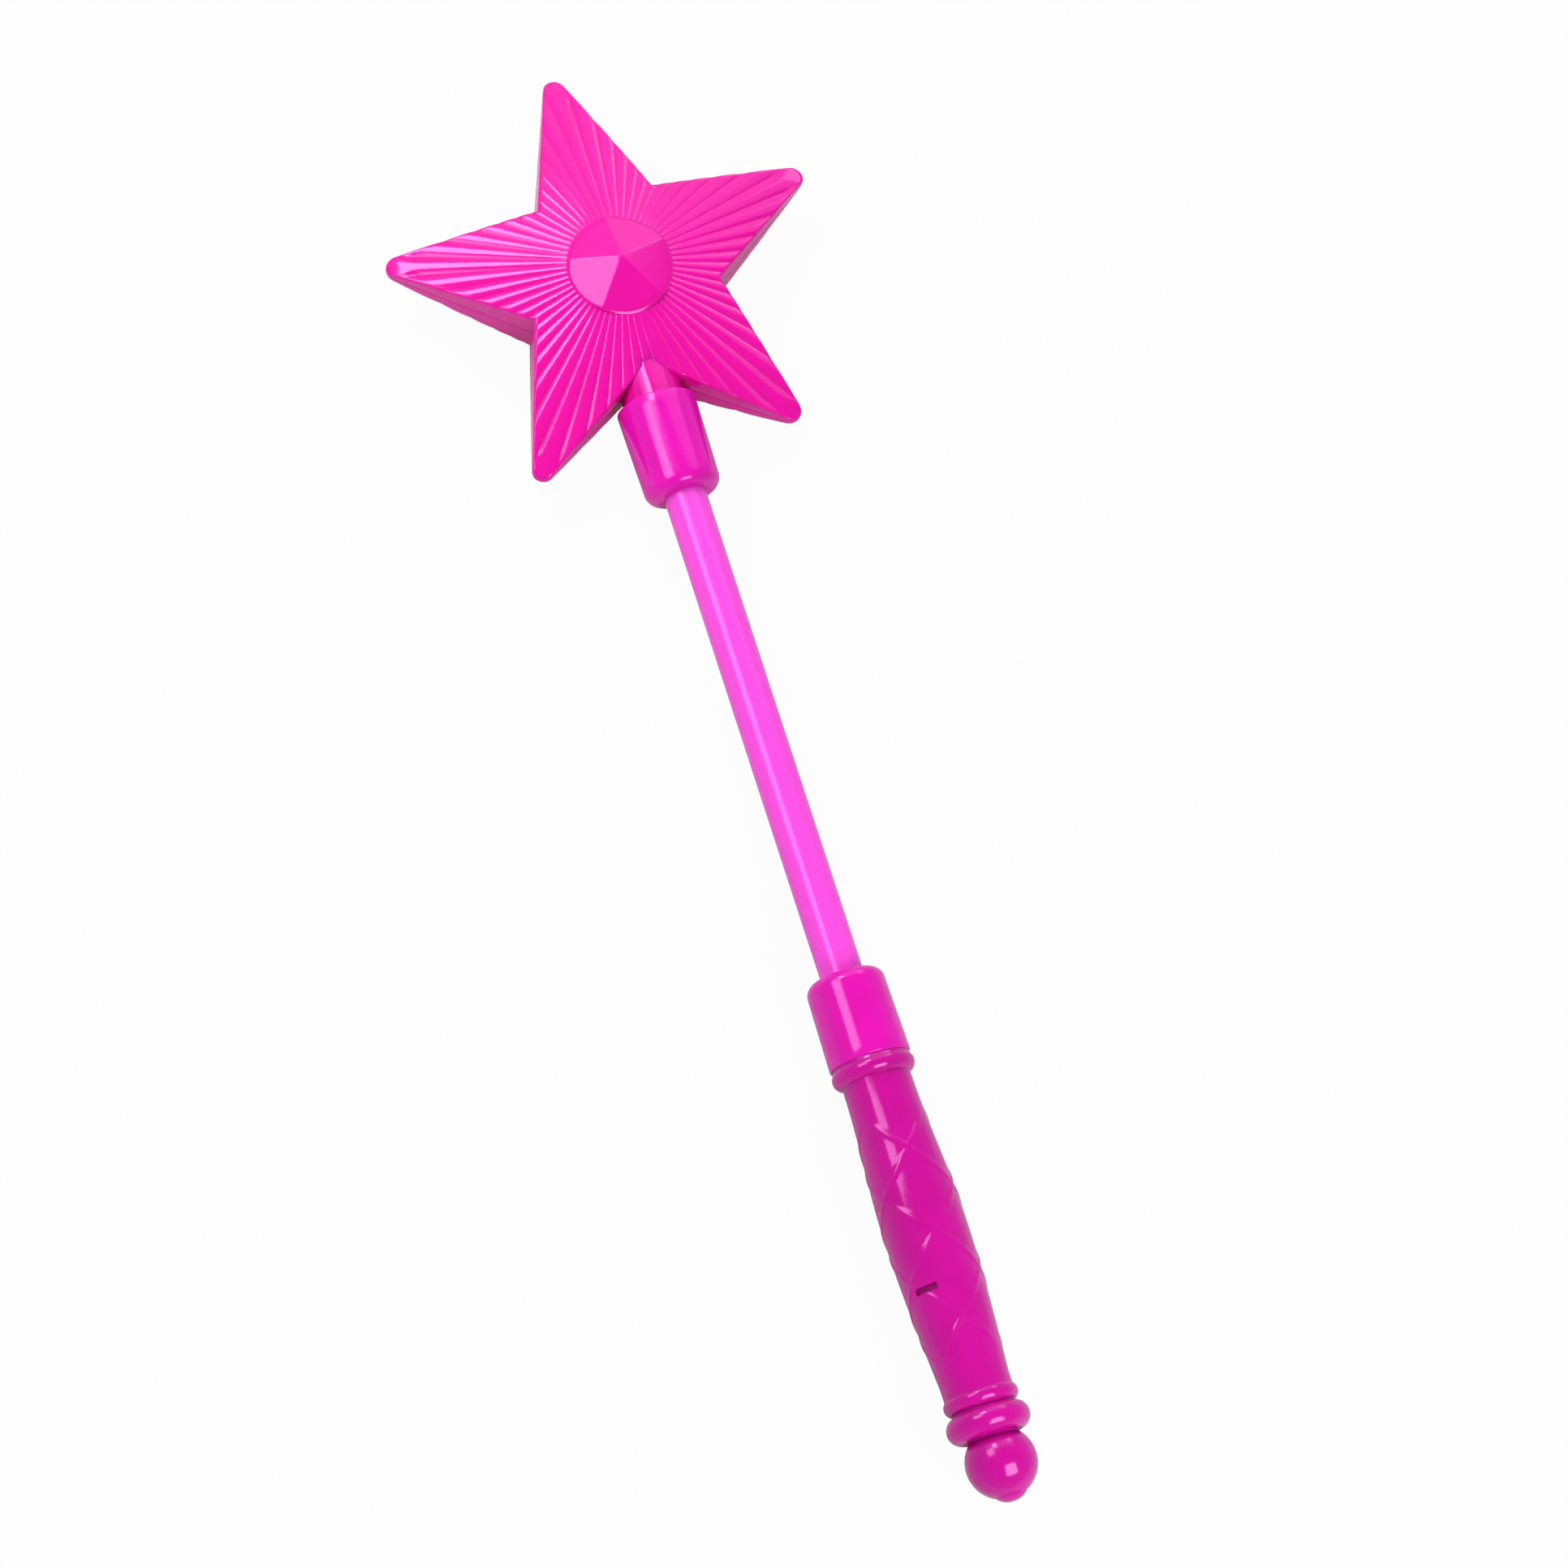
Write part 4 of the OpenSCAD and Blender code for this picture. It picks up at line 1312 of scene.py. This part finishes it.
@dataclass(frozen=True)
class SoftBox:
    """Lamp with a soft face, placed and sized in millimetres."""

    name: str
    place: tuple[float, float, float]
    aim: tuple[float, float, float]
    size: tuple[float, float]
    radiance: float

    def build(self) -> None:
        """Hangs the lamp and aims it."""
        lamp = bpy.data.lights.new(self.name, "AREA")
        lamp.shape = "RECTANGLE"
        lamp.size, lamp.size_y = (side * MM for side in self.size)
        lamp.energy = self.radiance * math.pi * lamp.size * lamp.size_y
        hung = bpy.data.objects.new(self.name, lamp)
        out = (Vector(self.place) - Vector(self.aim)).normalized()
        side = (Vector((1, 0, 0)) - out * out.x).normalized()
        turn = Matrix((side, out.cross(side), out)).transposed()
        hung.matrix_world = Matrix.Translation(Vector(self.place) * MM) @ turn.to_4x4()
        hung.visible_camera = False
        bpy.context.scene.collection.objects.link(hung)


@dataclass
class Studio:
    """Camera, lamps, floor and surrounding light."""

    star: Vector
    roll: float = 18.117
    pitch: float = -16.1
    yaw: float = 13.1
    shift: tuple[float, float, float] = (-43.572, 129.649, -1200.0)
    focal_px: float = 5709.1
    image_px: float = 1932.0
    sensor_mm: float = 36.0
    clip_m: tuple[float, float] = (0.01, 100.0)
    horizon: float = 0.5
    zenith: float = 0.2
    sky_top: float = 0.75
    floor_half_m: float = 30.0
    floor_greys: tuple[float, float] = (0.53, 0.57)
    floor_grain_mm: float = 4.0
    floor_rough: float = 0.9
    floor_white: float = 0.96
    floor_sheen: float = 0.1
    boxes: tuple[SoftBox, ...] = (
        SoftBox("star_box", (-130, 350, 420), (0, 135, 15), (135, 195), 11.8),
        SoftBox("handle_box", (-300, 155, 420), (0, 0, 15), (220, 240), 5.8),
        SoftBox("end_box", (90, -415, 342), (0, -120, 15), (250, 250), 8.5),
        SoftBox("side_box", (476, 515, 360), (0, 135, 15), (220, 220), 2.4),
        SoftBox("side_panel", (234, 457, 350), (0, 135, 15), (540, 540), 1.0),
        SoftBox("fill_panel", (-315, 684, 655), (0, 100, 15), (700, 700), 0.6),
    )

    def camera(self) -> None:
        """Sets the camera where the photograph was taken from."""
        roll, pitch, yaw = (
            Matrix.Rotation(math.radians(angle), 3, name)
            for angle, name in ((self.roll, "Z"), (self.pitch, "X"), (self.yaw, "Y")))
        back = (roll @ pitch @ yaw).transposed()
        lens = bpy.data.cameras.new("photo_camera")
        lens.sensor_width = self.sensor_mm
        lens.lens = self.focal_px / self.image_px * self.sensor_mm
        lens.clip_start, lens.clip_end = self.clip_m
        holder = bpy.data.objects.new("photo_camera", lens)
        holder.matrix_world = Matrix.Translation((self.star - back @ Vector(self.shift)) * MM) @ back.to_4x4()
        bpy.context.scene.collection.objects.link(holder)
        bpy.context.scene.camera = holder

    def surroundings(self) -> None:
        """Lights the world softly, paler towards the horizon."""
        world = bpy.data.worlds.new("studio")
        bpy.context.scene.world = world
        world.use_nodes = True
        graph = Graph(world.node_tree)
        coords = graph.node("ShaderNodeTexCoord").outputs["Generated"]
        up = graph.node("ShaderNodeSeparateXYZ", {}, {0: coords}).outputs[2]
        low, high = ((level, level, level, 1.0) for level in (self.horizon, self.zenith))
        ramp = graph.node("ShaderNodeValToRGB", {"stops": [(0.0, low), (self.sky_top, high)]}, {0: up})
        sky = world.node_tree.nodes["Background"]
        world.node_tree.links.new(ramp.outputs[0], sky.inputs["Color"])

    def floor(self) -> None:
        """Lays the pale floor, which stays white to the camera and keeps a soft shadow."""
        half = self.floor_half_m
        points = [(x * half, y * half, 0.0) for x, y in ((-1, -1), (1, -1), (1, 1), (-1, 1))]
        floor = add_object("studio_floor", points, [(0, 1, 2, 3)])
        s = Surface("floor_paper")
        grain = s.noise(self.floor_grain_mm, 3.0)
        low, high = ((grey, grey, grey, 1.0) for grey in self.floor_greys)
        s.set(Base_Color=s.mix(grain, low, high), Roughness=self.floor_rough, Specular_IOR_Level=0.0)
        path = s.node("ShaderNodeLightPath").outputs
        seen = Value(s, path["Is Camera Ray"]) + Value(s, path["Is Transmission Ray"]) \
            + Value(s, path["Is Glossy Ray"]) * self.floor_sheen
        white = s.node("ShaderNodeEmission", {}, {"Color": (1.0, 1.0, 1.0, 1.0), "Strength": 1.0})
        share = seen.clamp() * self.floor_white
        mixed = s.node("ShaderNodeMixShader", {}, {0: share, 1: s.shader.outputs[0], 2: white.outputs[0]})
        s.tree.links.new(mixed.outputs[0], s.tree.nodes["Material Output"].inputs["Surface"])
        floor.data.materials.append(s.material)

    def build(self) -> None:
        """Sets up the whole studio."""
        bpy.context.scene.view_settings.view_transform = "Standard"
        self.camera()
        self.surroundings()
        self.floor()
        for box in self.boxes:
            box.build()


def main() -> None:
    """Builds the studio and the wand, sub-assembly by sub-assembly."""
    logging.basicConfig(level=logging.INFO, format="%(name)s: %(message)s")
    low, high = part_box("stem_tube")
    axis = Axis((low.z + high.z) / 2 / MM)
    star = StarHead(axis)
    Studio(Vector((0.0, star.centre, axis.height))).build()
    star.half("star_front_ribbed", Span.FRONT, "star_front_shell")
    star.half("star_rear_ribbed", Span.REAR, "star_rear_shell")
    Ferrule(axis, "head_ferrule", True).build()
    Stem(axis).build()
    Ferrule(axis, "handle_ferrule", False).build()
    handle_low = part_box("handle_front_shell")[0].y / MM
    seam_y = handle_low + Grip.low_ring_h
    grip = Grip(axis, seam_y)
    grip.half("grip_front", Span.FRONT, "handle_front_shell")
    grip.half("grip_rear", Span.REAR, "handle_rear_shell")
    BallButton(axis, seam_y).build()
    CoilSpring(axis, "contact_spring", low_r=4.6, high_r=2.4, turns=3.0).build()
    spring = CoilSpring(axis, "button_spring", low_r=3.6, high_r=3.6, turns=3.0).build()
    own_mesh(spring)
    InnerWorks().dress()


if __name__ == "__main__":
    main()
